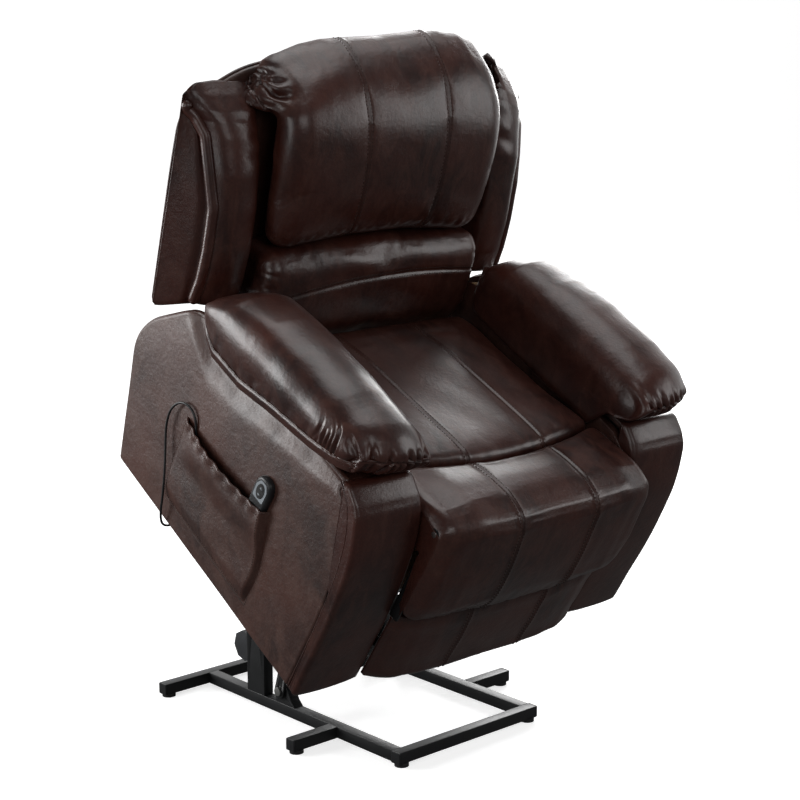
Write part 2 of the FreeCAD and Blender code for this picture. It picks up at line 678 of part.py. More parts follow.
def pocket_loft(corners, back):
    """A ruled solid between the pocket's front and rear edges."""
    sections = []
    for low, high in ((corners[0], corners[1]), (corners[3], corners[2])):
        wire = doc.addObject("Part::Polygon", "edge")
        wire.Nodes = [Vector(back, low[0], low[1]), Vector(POCKET_FACE - low[2], low[0], low[1]),
                      Vector(POCKET_FACE - high[2], high[0], high[1]), Vector(back, high[0], high[1])]
        wire.Close = True
        sections.append(wire)
    loft = doc.addObject("Part::Loft", "loft")
    loft.Sections, loft.Solid, loft.Ruled = sections, True, True
    return loft


def side_pocket():
    wall = dim("pocket_wall")
    (y0, z0, d0), (y1, z1, d1), (y2, z2, d2), (y3, z3, d3) = POCKET
    skin = pocket_loft(POCKET, POCKET_FACE)
    above = 8.0
    inside = ((y0 + wall, z0 + wall, d0 - wall), (y1 + wall, z1 + above, d1 - wall),
              (y2 - wall, z2 + above, d2 - wall), (y3 - wall, z3 + wall, d3 - wall))
    pouch = cut(skin, pocket_loft(inside, POCKET_FACE + 1.0))
    pouch.Placement = SEAT
    keep(pouch, "side_pocket")


HANDSET_CORNER = Vector(POCKET_FACE - 1.0 - dim("handset_depth"), 250, 203)
BUTTON_HEIGHTS = (("down_button", 85.0), ("up_button", 101.0))


def handset():
    depth, width = dim("handset_depth"), dim("handset_width")
    low = HANDSET_CORNER
    middle = low.y + width / 2
    outline = [(low.y + 5, low.z), (low.y + width - 5, low.z), (low.y + width, low.z + 60),
               (low.y + width, low.z + 106), (low.y + width - 7, low.z + 122),
               (low.y + 7, low.z + 122), (low.y, low.z + 106), (low.y, low.z + 60)]
    shell = slab(SEAT, outline, f"{low.x}", "dims.handset_depth", [8, 8, 90, 14, 8, 8, 14, 90])
    face = [(middle - 16, low.z + 72), (middle + 16, low.z + 72), (middle + 17, low.z + 100),
            (middle + 9, low.z + 115), (middle - 9, low.z + 115), (middle - 17, low.z + 100)]
    plate = slab(SEAT, face, f"{low.x - 1.2}", "1.2", [4, 4, 10, 9, 9, 10])
    gap, deep = dim("button_gap"), 4.0
    wells = []
    for label, height in BUTTON_HEIGHTS:
        z = low.z + height
        half_w, half_h = dim("button_width") / 2, dim("button_height") / 2
        corner = (low.x - 2.6, middle - half_w, z - half_h)
        well = box(SEAT, (low.x - 2, middle - half_w - gap, z - half_h - gap), f"{2 + deep}",
                   "dims.button_width + 2 * dims.button_gap", "dims.button_height + 2 * dims.button_gap")
        wells.append(well)
        keep(box(SEAT, corner, f"{2.6 + deep - 1.5}", "dims.button_width", "dims.button_height"), label)
    keep(cut(shell, *wells), "handset_shell")
    keep(cut(plate, *wells), "handset_face")


def control_box():
    """The power unit on the right inner panel, with its mains inlet opening."""
    case = box(SEAT, (-dim("inner_panel_x"), 500, 62), "38", "110", "78")
    inlet = box(SEAT, (-dim("inner_panel_x") + 8, 600, 92), "22", "12", "18")
    keep(cut(case, inlet), "control_box")


# (x, y, z) in the seat frame: down inside the pocket, out over its rear corner, down the
# panel, under its lower edge and up to the control box
CORD_ROUTE = [
    (-469.5, 272, 203), (-469.5, 272, 160), (-468.6, 302, 118), (-467.6, 356, 96),
    (-466.4, 412, 106), (-465.8, 456, 142), (-466.0, 483, 192), (-466.5, 493, 236),
    (-469.0, 516, 275), (-473.5, 555, 275), (-475.5, 578, 240), (-475.0, 575, 196),
    (-475.5, 554, 158), (-477.0, 527, 112), (-477.5, 505, 62), (-475.0, 494, 18),
    (-462.0, 489, -14), (-428.0, 492, -24), (-386.0, 502, -26), (-344.0, 517, -20),
    (-304.0, 541, -10), (-278.0, 556, 22), (-278.0, 556, 62),
]


def handset_cord():
    """A tube along straight runs joined by tangent arcs."""
    points = [Vector(*p) for p in CORD_ROUTE]
    radii = [0.0]
    for before, corner, after in zip(points, points[1:], points[2:]):
        turn = (corner - before).getAngle(after - corner)
        shorter = min((corner - before).Length, (after - corner).Length)
        radii.append(0.45 * shorter / math.tan(turn / 2))
    radii.append(0.0)
    print("cord radii", [round(r) for r in radii])
    wire = Part.Wire([piece.toShape() for piece in rounded(CORD_ROUTE, radii, closed=False)])
    start = (points[1] - points[0]).normalize()
    profile = Part.Wire([Part.makeCircle(dim("cord_radius"), points[0], start)])
    shape = wire.makePipeShell([profile], True, False)
    section = math.pi * dim("cord_radius") ** 2
    print("cord length", round(wire.Length), "volume ratio",
          round(shape.Volume / (section * wire.Length), 4))
    cord = doc.addObject("Part::Feature", "cord")
    cord.Shape = shape
    cord.Placement = SEAT
    keep(cord, "handset_cord")


# --------------------------------------------------------------------------- build and export
for make in (floor_tubes, end_caps_and_feet, posts, front_brackets, base_bolts, front_links,
             link_cross_tube, rear_links, actuator_clevis, actuator, actuator_rod, carriage,
             rod_lug, carriage_pins, seat_rails, seat_springs, arms, seat, footrest, backrest,
             side_pocket, handset, control_box, handset_cord):
    make()
doc.recompute()

faults = [obj.Label for obj in doc.Objects if {"Invalid", "Error"} & set(obj.State)]
faults += [obj.Label for obj in NODES if obj.Shape.isNull() or not obj.Shape.isValid()]
if faults:
    raise SystemExit(f"failed objects: {faults}")

os.makedirs("parts", exist_ok=True)
for obj in NODES:
    obj.Shape.exportStep(os.path.join("parts", obj.Label + ".step"))
print(len(NODES), "sub-parts written")
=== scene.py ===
"""Looks of the power lift recliner chair: leather upholstery, steel base, handset and cord.

Upholstered pieces are drawn in the seat frame or the back frame in millimetres, as in the CAD
model, and placed in the row frame in metres.  x is across the chair, +x the sitter's left.
In the seat frame y runs back from the front of the arms and z up from their lower edge; in the
back frame y runs back from the rear cover and z up along the backrest.
"""

import math

import bpy
import bmesh
import numpy as np
from mathutils import Matrix, Vector


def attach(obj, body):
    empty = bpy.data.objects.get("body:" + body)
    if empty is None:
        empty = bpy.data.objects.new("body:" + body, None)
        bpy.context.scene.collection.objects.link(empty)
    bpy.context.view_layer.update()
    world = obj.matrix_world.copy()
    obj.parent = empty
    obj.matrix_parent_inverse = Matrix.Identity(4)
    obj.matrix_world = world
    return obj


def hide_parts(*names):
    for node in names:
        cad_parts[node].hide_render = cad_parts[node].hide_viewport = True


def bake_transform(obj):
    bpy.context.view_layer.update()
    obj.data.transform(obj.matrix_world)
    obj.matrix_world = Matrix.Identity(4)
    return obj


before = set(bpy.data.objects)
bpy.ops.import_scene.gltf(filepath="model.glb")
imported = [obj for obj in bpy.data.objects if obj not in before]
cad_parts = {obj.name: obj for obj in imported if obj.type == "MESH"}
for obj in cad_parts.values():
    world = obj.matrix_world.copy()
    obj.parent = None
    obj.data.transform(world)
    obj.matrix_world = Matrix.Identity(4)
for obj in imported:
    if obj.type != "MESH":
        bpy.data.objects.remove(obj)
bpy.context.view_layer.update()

MM = 0.001
BASE_FRONT = -214.7
SEAT_SETBACK, SEAT_HEIGHT = 17.0, 220.0
BACK_SETBACK, BACK_HEIGHT = 757.0, 357.0
SEAT_TILT, BACK_LEAN = math.radians(32.9), math.radians(16.7)
SEAT = (Matrix.Scale(MM, 4) @ Matrix.Translation((0, BASE_FRONT + SEAT_SETBACK, SEAT_HEIGHT))
        @ Matrix.Rotation(SEAT_TILT, 4, "X"))
BACK = (SEAT @ Matrix.Translation((0, BACK_SETBACK, BACK_HEIGHT))
        @ Matrix.Rotation(-BACK_LEAN, 4, "X"))
# distance of the two long seams from the middle of the chair, and how firmly they hold the leather
SEAM_X = 107.0
SEAM_HOLD = 0.15
SIDES = ((-1, "right"), (1, "left"))


# --------------------------------------------------------------------------- small maths
def smooth(value, low, high):
    """0 below low, 1 above high, easing in between."""
    t = np.clip((np.asarray(value, float) - low) / (high - low), 0.0, 1.0)
    return t * t * (3 - 2 * t)


def bell(value, centre, width):
    """1 at centre, fading to 0 over a few widths."""
    return np.exp(-((np.asarray(value, float) - centre) / width) ** 2)


def ripple(values, seed, count=5, low=0.05, high=0.16):
    """A repeatable uneven wave along values, between -1 and 1."""
    rng = np.random.default_rng(seed)
    total = np.zeros_like(np.asarray(values, float))
    for weight in np.linspace(1.0, 0.5, count):
        total = total + weight * np.sin(values * rng.uniform(low, high) * 2 * math.pi
                                        + rng.uniform(0, 2 * math.pi))
    return total / count


def spline(points, count, closed=True):
    """count points along a cubic B-spline over the control points, evenly spaced."""
    control = np.array(points, float)
    n = len(control)
    if not closed:
        control = np.vstack([2 * control[0] - control[1], control, 2 * control[-1] - control[-2]])
    spans = n if closed else n - 1
    line = []
    for i in range(spans):
        four = [control[(i + k - (1 if closed else 0)) % len(control)] for k in range(4)]
        for t in np.linspace(0, 1, 24, endpoint=False):
            w = ((1 - t) ** 3 / 6, (3 * t ** 3 - 6 * t ** 2 + 4) / 6,
                 (-3 * t ** 3 + 3 * t ** 2 + 3 * t + 1) / 6, t ** 3 / 6)
            line.append(sum(a * b for a, b in zip(w, four)))
    if not closed:
        line.append(control[-2])
    line = np.array(line)
    if closed:
        line = np.vstack([line, line[:1]])
    return along(line, count, closed)


def travel_along(line):
    """How far each point of a line is from its start, measured along it."""
    steps = np.linalg.norm(np.diff(line, axis=0), axis=1)
    return np.concatenate([[0], np.cumsum(steps)])


def at_travel(values, travel, wanted):
    """The rows of values at the wanted distances."""
    return np.stack([np.interp(wanted, travel, column) for column in values.T], axis=-1)


def along(line, count, closed):
    """count points at even distances along a line of points."""
    travel = travel_along(line)
    return at_travel(line, travel, np.linspace(0, travel[-1], count, endpoint=not closed))


def polygon(points, radius, count):
    """An outline with every corner rounded, as count points evenly spaced."""
    corners = np.array(points, float)
    n = len(corners)
    line = []
    for i in range(n):
        r = radius[i] if isinstance(radius, (list, tuple)) else radius
        back, ahead = corners[i - 1] - corners[i], corners[(i + 1) % n] - corners[i]
        reach = min(r, 0.48 * np.linalg.norm(back), 0.48 * np.linalg.norm(ahead))
        start = corners[i] + back / np.linalg.norm(back) * reach
        end = corners[i] + ahead / np.linalg.norm(ahead) * reach
        for t in np.linspace(0, 1, 9):
            line.append((1 - t) ** 2 * start + 2 * t * (1 - t) * corners[i] + t * t * end)
    line = np.array(line)
    return along(np.vstack([line, line[:1]]), count, True)


def inward(loop):
    """Unit normals of a closed outline, pointing to its inside."""
    tangent = np.roll(loop, -1, axis=0) - np.roll(loop, 1, axis=0)
    tangent /= np.maximum(np.linalg.norm(tangent, axis=1), 1e-9)[:, None]
    following = np.roll(loop, -1, axis=0)
    area = np.sum(loop[:, 0] * following[:, 1] - following[:, 0] * loop[:, 1])
    normal = np.stack([-tangent[:, 1], tangent[:, 0]], axis=1)
    return normal if area > 0 else -normal


# --------------------------------------------------------------------------- materials
class Look:
    """A material round one Principled shader, and the nodes that feed it."""

    def __init__(self, name, roughness, metallic=0.0):
        self.material = bpy.data.materials.new(name)
        self.material.use_nodes = True
        tree = self.material.node_tree
        self.nodes, self.links = tree.nodes, tree.links
        self.shader = self.nodes["Principled BSDF"]
        self.fix("Roughness", roughness)
        self.fix("Metallic", metallic)

    def fix(self, socket, value):
        """Put a constant on one of the shader's sockets."""
        self.shader.inputs[socket].default_value = value

    def feed(self, socket, source):
        """Link a node's output to one of the shader's sockets."""
        self.links.new(source, self.shader.inputs[socket])

    def noise(self, scale, detail, stretch=(1, 1, 1), distortion=0.0, roughness=0.5):
        """A noise texture over the object's own coordinates in metres."""
        where = self.nodes.new("ShaderNodeTexCoord")
        mapping = self.nodes.new("ShaderNodeMapping")
        mapping.inputs["Scale"].default_value = stretch
        texture = self.nodes.new("ShaderNodeTexNoise")
        texture.inputs["Scale"].default_value = scale
        texture.inputs["Detail"].default_value = detail
        texture.inputs["Distortion"].default_value = distortion
        texture.inputs["Roughness"].default_value = roughness
        self.links.new(where.outputs["Object"], mapping.inputs["Vector"])
        self.links.new(mapping.outputs["Vector"], texture.inputs["Vector"])
        return texture.outputs["Fac"]

    def cells(self, scale):
        """Distance to the edge of irregular cells, for a pebbled grain."""
        where = self.nodes.new("ShaderNodeTexCoord")
        texture = self.nodes.new("ShaderNodeTexVoronoi")
        texture.feature = "DISTANCE_TO_EDGE"
        texture.inputs["Scale"].default_value = scale
        self.links.new(where.outputs["Object"], texture.inputs["Vector"])
        return texture.outputs["Distance"]

    def ramp(self, source, *stops):
        node = self.nodes.new("ShaderNodeValToRGB")
        for i, (place, colour) in enumerate(stops):
            stop = node.color_ramp.elements[i]
            stop.position = place
            stop.color = (*colour, 1)
        self.links.new(source, node.inputs["Fac"])
        return node.outputs["Color"]

    def mixed(self, first, second, factor, blend="MIX"):
        """Two colours mixed by a factor; each may be a value or a socket."""
        node = self.nodes.new("ShaderNodeMix")
        node.data_type = "RGBA"
        node.blend_type = blend
        for name, value in (("Factor", factor), ("A", first), ("B", second)):
            socket = [s for s in node.inputs if s.name == name and s.enabled][0]
            if isinstance(value, (tuple, float)):
                socket.default_value = value
            else:
                self.links.new(value, socket)
        return [s for s in node.outputs if s.enabled][0]

    def between(self, source, low, high):
        """A value from 0 to 1 stretched to run from low to high."""
        node = self.nodes.new("ShaderNodeMapRange")
        node.inputs["To Min"].default_value = low
        node.inputs["To Max"].default_value = high
        self.links.new(source, node.inputs["Value"])
        return node.outputs["Result"]

    def relief(self, *layers):
        """Bumps laid over one another: (height, strength, distance in metres) of each."""
        below = None
        for height, strength, distance in layers:
            node = self.nodes.new("ShaderNodeBump")
            node.inputs["Strength"].default_value = strength
            node.inputs["Distance"].default_value = distance
            self.links.new(height, node.inputs["Height"])
            if below is not None:
                self.links.new(below, node.inputs["Normal"])
            below = node.outputs["Normal"]
        self.feed("Normal", below)


# noise scales of the leather, per metre: dye clouds, painted sheen streaks, flecks and gloss
CLOUDS, SHEEN_STREAKS, FLECKS, GLOSS = 5.5, 26.0, 210.0, 38.0
# the same for its relief, then the strength of each layer and its distance in metres
PEBBLES, WRINKLES, CREASES = 520.0, 120.0, 21.0
PEBBLE_RELIEF, WRINKLE_RELIEF, CREASE_RELIEF = (0.22, 0.0006), (0.20, 0.0025), (0.10, 0.007)
COAT, COAT_ROUGHNESS, SPECULAR = 0.25, 0.22, 0.55


def leather(name, dark, warm, sheen_colour, roughness, grain=1.0):
    """Coated leather: a pebbled grain, cloudy two-tone dye, lighter streaks painted in as sheen and
    softly varying gloss.
    """
    look = Look(name, roughness[0])
    cloud = look.noise(CLOUDS, 5, distortion=0.6)
    sheen_streak = look.noise(SHEEN_STREAKS, 6, stretch=(1.0, 0.6, 0.45), distortion=1.1, roughness=0.65)
    # painted sheen: lighter, greyer streaks mixed into the base colour
    sheen_mask = look.ramp(sheen_streak, (0.42, (0, 0, 0)), (0.72, (1, 1, 1)))
    base = look.mixed(look.ramp(cloud, (0.34, dark), (0.68, warm)), (*sheen_colour, 1), sheen_mask)
    fine = look.ramp(look.noise(FLECKS, 4), (0.3, (0.82, 0.82, 0.82)), (0.7, (1.12, 1.12, 1.12)))
    look.feed("Base Color", look.mixed(base, fine, 1.0, "MULTIPLY"))
    gloss = look.noise(GLOSS, 5, stretch=(1.0, 0.8, 0.5), distortion=0.5)
    look.feed("Roughness", look.between(gloss, *roughness))
    heights = (look.cells(PEBBLES), look.noise(WRINKLES, 5, distortion=0.5),
               look.noise(CREASES, 3, distortion=1.2))
    layers = zip(heights, (PEBBLE_RELIEF, WRINKLE_RELIEF, CREASE_RELIEF))
    look.relief(*((height, strength * grain, distance) for height, (strength, distance) in layers))
    look.fix("Coat Weight", COAT)
    look.fix("Coat Roughness", COAT_ROUGHNESS)
    look.fix("Specular IOR Level", SPECULAR)
    return look.material


def grained(name, colour, roughness, scale, strength, spread=0.25):
    """Moulded, cast or powder-coated surfaces: a fine orange peel with slight unevenness."""
    look = Look(name, roughness)
    low, high = ([c * (1 - spread) for c in colour], [c * (1 + spread) for c in colour])
    look.feed("Base Color", look.ramp(look.noise(18.0, 3), (0.3, low), (0.7, high)))
    look.relief((look.noise(scale, 2), strength, 0.0005))
    look.feed("Roughness", look.between(look.noise(45.0, 4), roughness * 0.85, roughness * 1.15))
    return look.material


def brushed(name, colour, roughness, stretch):
    """Metal with fine lines along one direction."""
    look = Look(name, roughness, 1.0)
    lines = look.noise(260.0, 3, stretch=stretch)
    look.feed("Base Color", look.ramp(lines, (0.3, [c * 0.8 for c in colour]), (0.7, colour)))
    look.feed("Roughness", look.between(lines, roughness * 0.7, roughness * 1.4))
    look.relief((lines, 0.08, 0.0003))
    return look.material


def timber(name):
    """Plywood with its growth rings drawn out along x."""
    look = Look(name, 0.62)
    rings = look.noise(14.0, 6, stretch=(0.25, 4.0, 4.0), distortion=1.4)
    look.feed("Base Color", look.ramp(rings, (0.25, (0.30, 0.17, 0.08)), (0.75, (0.52, 0.35, 0.19))))
    look.relief((rings, 0.15, 0.0006))
    return look.material


# colours of each leather: dark and warm dye, then its painted sheen streaks; then its roughness range
HIDE = leather("cushion_leather", (0.022, 0.0064, 0.0048), (0.064, 0.0160, 0.0102),
               (0.074, 0.0265, 0.0185), (0.25, 0.42))
HIDE_FLAT = leather("panel_leather", (0.030, 0.0115, 0.0086), (0.084, 0.0275, 0.0176),
                    (0.096, 0.0460, 0.0350), (0.33, 0.50), 1.2)
THREAD = grained("stitch_thread", (0.034, 0.015, 0.010), 0.7, 900.0, 0.3)
POWDER = grained("powder_coat", (0.012, 0.0125, 0.0135), 0.42, 700.0, 0.25)
MOULDED = grained("moulded_black", (0.016, 0.0165, 0.018), 0.38, 1100.0, 0.15)
MOTOR_GREY = grained("motor_housing", (0.034, 0.036, 0.040), 0.45, 800.0, 0.2)
RUBBER = grained("foot_rubber", (0.018, 0.018, 0.018), 0.75, 500.0, 0.3)
FACE_GREY = grained("handset_grey", (0.30, 0.33, 0.36), 0.42, 900.0, 0.1, spread=0.06)
ZINC = brushed("zinc_plate", (0.62, 0.62, 0.60), 0.30, (1, 6, 1))
CHROME = brushed("ground_chrome", (0.78, 0.78, 0.79), 0.12, (1, 0.4, 8))
ALUMINIUM = brushed("anodised_tube", (0.42, 0.43, 0.45), 0.34, (1, 0.4, 8))
SPRING = brushed("spring_steel", (0.25, 0.24, 0.23), 0.38, (2, 2, 2))
WOOD = timber("plywood")


# --------------------------------------------------------------------------- mesh making
def placed(matrix, points):
    """Points moved by a 4 by 4 matrix."""
    place = np.array(matrix)
    return points @ place[:3, :3].T + place[:3, 3]


def build(name, points, faces, place):
    """A mesh object from local points, moved to the row frame, with its normals outward."""
    mesh = bpy.data.meshes.new(name)
    mesh.from_pydata([tuple(p) for p in points], [], faces)
    mesh.update()
    obj = bpy.data.objects.new(name, mesh)
    bpy.context.scene.collection.objects.link(obj)
    work = bmesh.new()
    work.from_mesh(mesh)
    bmesh.ops.recalc_face_normals(work, faces=work.faces)
    work.to_mesh(mesh)
    work.free()
    mesh.transform(place)
    return obj


def band(low, high, around):
    """Faces between two closed rings of points, from the index of each ring's first point."""
    pairs = [(k, (k + 1) % around) for k in range(around)]
    return [(low + k, low + n, high + n, high + k) for k, n in pairs]


def closed_tube(rows):
    """Points and faces of a grid of closed loops whose two ends are shut by a point."""
    count, around = rows.shape[0], rows.shape[1]
    points = [p for row in rows for p in row]
    faces = []
    for i in range(count - 1):
        faces += band(i * around, (i + 1) * around, around)
    for ring in (0, count - 1):
        pole = len(points)
        points.append(rows[ring].mean(axis=0))
        faces += [(pole, ring * around + (k + 1) % around, ring * around + k) for k in range(around)]
    return np.array(points), faces


END_SHARES = (0.96, 0.88, 0.76, 0.62, 0.48, 0.34, 0.2, 0.08)


def end_rings(loop, edge, outward, radius, bulge, steps=7, shares=END_SHARES):
    """[(depth, loop)] from the full outline to a small ring in the middle of the end."""
    normals = inward(loop)
    rings = []
    for a in np.linspace(0, math.pi / 2, steps):
        depth = edge - outward * radius * (1 - math.sin(a))
        rings.append((depth, loop + normals * radius * (1 - math.cos(a))))
    inner, centre = rings[-1][1], rings[-1][1].mean(axis=0)
    for share in shares:
        rings.append((edge + outward * bulge * (1 - share ** 2), centre + (inner - centre) * share))
    return rings


def stations(low, high, step, marks=(), gap=3.0, spread=4):
    """Depths from low to high, closer together beside each mark."""
    places = set(np.round(np.linspace(low, high, max(int((high - low) / step), 2)), 3))
    for mark in marks:
        near = {round(mark + gap * k, 3) for k in range(-spread, spread + 1)}
        reach = gap * (spread + 0.6)
        places = {p for p in places if abs(p - mark) > reach} | near
    return sorted(places)


def pillow(outline, low, high, radii, bulge=(5.0, 5.0), step=12.0, marks=(), gap=3.0, steps=7,
           shares=END_SHARES):
    """Rows of an outline carried from low to high with both ends rounded and closed."""
    first = end_rings(outline, low, -1, radii[0], bulge[0], steps, shares)[::-1]
    last = end_rings(outline, high, 1, radii[1], bulge[1], steps, shares)
    middle = [(w, outline) for w in stations(low + radii[0], high - radii[1], step, marks, gap)[1:-1]]
    return first + middle + last


def crossed(rings):
    """An outline in (y, z), carried along x."""
    return np.array([[(w, u, v) for u, v in loop] for w, loop in rings])


def standing(rings):
    """An outline in (x, z), carried along y."""
    return np.array([[(u, w, v) for u, v in loop] for w, loop in rings])


def fields_of(rows):
    """x, y and z of a grid as it is drawn, before it is bent or swelled."""
    return (rows[..., k].copy() for k in range(3))


def local_normals(rows):
    """Outward unit normals of a grid of closed loops."""
    around = np.roll(rows, -1, axis=1) - np.roll(rows, 1, axis=1)
    ahead = np.gradient(rows, axis=0)
    normal = np.cross(ahead, around)
    normal /= np.maximum(np.linalg.norm(normal, axis=2), 1e-9)[..., None]
    outward = np.sum(normal * (rows - rows.mean(axis=(0, 1))), axis=2)
    return normal if np.sum(outward) > 0 else -normal


def finish_piece(obj, material, body, nodes=()):
    """Dress a piece, attach it to its body and hide the nodes it replaces."""
    obj.data.materials.clear()
    obj.data.materials.append(material)
    for face in obj.data.polygons:
        face.use_smooth = True
    if body:
        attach(obj, body)
    if nodes:
        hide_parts(*nodes)
    return obj


def skin(name, rows, place):
    """A closed piece from a grid of loops."""
    points, faces = closed_tube(rows)
    return build(name, points, faces, place)


# --------------------------------------------------------------------------- cloth
# thick, slow leather: stiffness, damping, and the pins that hold the sewn and covered parts
CLOTH = {
    "quality": 6, "mass": 0.35, "tension_stiffness": 18, "compression_stiffness": 18,
    "shear_stiffness": 8, "bending_stiffness": 1.2, "tension_damping": 12, "compression_damping": 12,
    "air_damping": 4, "use_pressure": True, "vertex_group_mass": "held", "pin_stiffness": 3,
}
# share of the simulated wrinkles' depth that is kept
CRUMPLE = 0.22
# how often the movement is averaged round a loop of the grid and along the grid
ROUND_PASSES, ALONG_PASSES = 24, 10


def relaxed(shift):
    """The broad part of a movement of the grid: averaged between neighbours many times over."""
    broad = shift
    for number in range(ROUND_PASSES):
        broad = 0.5 * broad + 0.25 * (np.roll(broad, 1, axis=1) + np.roll(broad, -1, axis=1))
        if number < ALONG_PASSES:
            edged = np.concatenate([broad[:1], broad, broad[-1:]])
            broad = 0.5 * broad + 0.25 * (edged[:-2] + edged[2:])
    return broad


def vertices_of(mesh):
    co = np.empty(len(mesh.vertices) * 3)
    mesh.vertices.foreach_get("co", co)
    return co.reshape(-1, 3)


def inflate(obj, rows, pins, pressure=4.0, cap=0.012, frames=16, slack=0.0):
    """Swell a closed piece under cloth pressure: pins say, from 0 to 1, how firmly each vertex holds.

    slack is how much larger than drawn the leather is cut, and cap, in metres, limits the movement.
    The broad swelling is kept whole and the small wrinkles at a share of their depth, as thick
    leather over foam shows them.
    """
    mesh = obj.data
    rest = vertices_of(mesh)
    group = obj.vertex_groups.new(name="held")
    for index, weight in enumerate(pins):
        if weight > 0.001:
            group.add([index], float(weight), "REPLACE")
    cloth = obj.modifiers.new("cloth", "CLOTH")
    settings = cloth.settings
    for key, value in CLOTH.items():
        setattr(settings, key, value)
    settings.uniform_pressure_force = pressure
    settings.shrink_min = -slack
    settings.effector_weights.gravity = 0
    cloth.collision_settings.use_collision = False
    scene = bpy.context.scene
    scene.frame_start, scene.frame_end = 1, frames
    cloth.point_cache.frame_start, cloth.point_cache.frame_end = 1, frames
    for number in range(1, frames + 1):
        scene.frame_set(number)
    evaluated = obj.evaluated_get(bpy.context.evaluated_depsgraph_get())
    shift = vertices_of(evaluated.data) - rest
    length = np.linalg.norm(shift, axis=1)
    shift *= (cap * np.tanh(length / cap) / np.maximum(length, 1e-9))[:, None]
    obj.modifiers.remove(cloth)
    obj.vertex_groups.remove(group)
    scene.frame_set(1)
    size = rows.shape[0] * rows.shape[1]
    grid = shift[:size].reshape(rows.shape)
    broad = relaxed(grid)
    shift[:size] = (broad + CRUMPLE * (grid - broad)).reshape(-1, 3)
    mesh.vertices.foreach_set("co", (rest + shift).ravel())
    mesh.update()


def grid_of(obj, rows):
    """The grid's vertices as they are now, in metres, shaped like rows."""
    return vertices_of(obj.data)[: rows.shape[0] * rows.shape[1]].reshape(rows.shape)


def put_grid(obj, grid):
    """Move the grid's vertices, and the two points that close its ends to the middle of theirs."""
    co = np.vstack([grid.reshape(-1, 3), grid[0].mean(axis=0), grid[-1].mean(axis=0)])
    obj.data.vertices.foreach_set("co", co.ravel())
    obj.data.update()


def finer(grid):
    """The grid with a point added between every two, on smooth curves through the old ones."""
    before, ahead, after = (np.roll(grid, shift, axis=1) for shift in (1, -1, -2))
    across = np.stack([grid, (9 * (grid + ahead) - before - after) / 16], axis=2)
    wide = across.reshape(grid.shape[0], -1, grid.shape[2])
    ends = np.concatenate([2 * wide[:1] - wide[1:2], wide, 2 * wide[-1:] - wide[-2:-1]])
    rows = np.empty((2 * len(wide) - 1, *wide.shape[1:]))
    rows[0::2] = wide
    rows[1::2] = (9 * (ends[1:-2] + ends[2:-1]) - ends[:-3] - ends[3:]) / 16
    return rows


def refine(obj, rows, *fields):
    """The piece on a grid twice as fine, and its fields of the same grid made finer with it."""
    grid = finer(grid_of(obj, rows))
    name = obj.name
    bpy.data.objects.remove(obj)
    points, faces = closed_tube(grid)
    fields = finer(np.stack(fields, axis=-1))
    obj = build(name, points, faces, Matrix.Identity(4))
    return obj, grid, *(fields[..., k] for k in range(fields.shape[-1]))


def push(obj, rows, depth):
    """Move the grid's vertices out along their normals by depth, in millimetres."""
    grid = grid_of(obj, rows)
    put_grid(obj, grid + local_normals(grid) * (depth * MM)[..., None])


def seam(distance, depth, width=4.0):
    """A sewn valley with a raised welt on each side."""
    return -depth * np.exp(-(distance / width) ** 2) + 0.14 * depth * np.exp(
        -((np.abs(distance) - 2.3 * width) / (1.1 * width)) ** 2)


# --------------------------------------------------------------------------- stitches and piping
def stitches(name, lines, normals, pitch=7.5, length=4.8, radius=0.75):
    """Short threads laid end to end along lines of row-frame points, just proud of the leather."""
    points, faces = [], []
    sides = 6
    for line, normal in zip(lines, normals):
        line, normal = np.array(line), np.array(normal)
        travel = travel_along(line)
        for start in np.arange(pitch * MM, travel[-1] - pitch * MM, pitch * MM):
            first, last = (at_travel(line, travel, d) for d in (start, start + length * MM))
            up = at_travel(normal, travel, start)
            up /= max(np.linalg.norm(up), 1e-9)
            direction = last - first
            direction /= max(np.linalg.norm(direction), 1e-9)
            across = np.cross(direction, up)
            base = len(points)
            for share, swell, lift in ((0.0, 0.45, -0.2), (0.2, 1.0, 0.35), (0.8, 1.0, 0.35),
                                       (1.0, 0.45, -0.2)):
                centre = first * (1 - share) + last * share + up * radius * MM * lift
                for k in range(sides):
                    a = 2 * math.pi * k / sides
                    rim = across * math.cos(a) + up * math.sin(a)
                    points.append(centre + rim * radius * MM * swell)
            for ring in range(3):
                faces += band(base + ring * sides, base + (ring + 1) * sides, sides)
            faces.append(tuple(base + k for k in range(sides))[::-1])
            faces.append(tuple(base + 3 * sides + k for k in range(sides)))
    return build(name, points, faces, Matrix.Identity(4))


def piping(name, path, radius, place, closed=False, sides=10, wobble=0.0, seed=1):
    """A corded edge along local points, slightly uneven as sewn leather is."""
    path = np.array(path, float)
    count = len(path)
    tangent = np.gradient(path, axis=0)
    tangent /= np.linalg.norm(tangent, axis=1)[:, None]
    side = np.cross(tangent[0], (1.0, 0.0, 0.0))
    if np.linalg.norm(side) < 0.1:
        side = np.cross(tangent[0], (0.0, 1.0, 0.0))
    points, faces = [], []
    uneven = 1 + wobble * ripple(np.arange(count, dtype=float), seed)
    for i in range(count):
        side = side - tangent[i] * np.dot(side, tangent[i])
        side /= np.linalg.norm(side)
        up = np.cross(tangent[i], side)
        taper = 1.0 if closed else min(1.0, 0.35 + min(i, count - 1 - i) * 0.3)
        for k in range(sides):
            a = 2 * math.pi * k / sides
            points.append(path[i] + (side * math.cos(a) + up * math.sin(a)) * radius * uneven[i] * taper)
    for i in range(count - (0 if closed else 1)):
        faces += band(i * sides, (i + 1) % count * sides, sides)
    if not closed:
        faces.append(tuple(range(sides))[::-1])
        faces.append(tuple((count - 1) * sides + k for k in range(sides)))
    return build(name, points, faces, place)


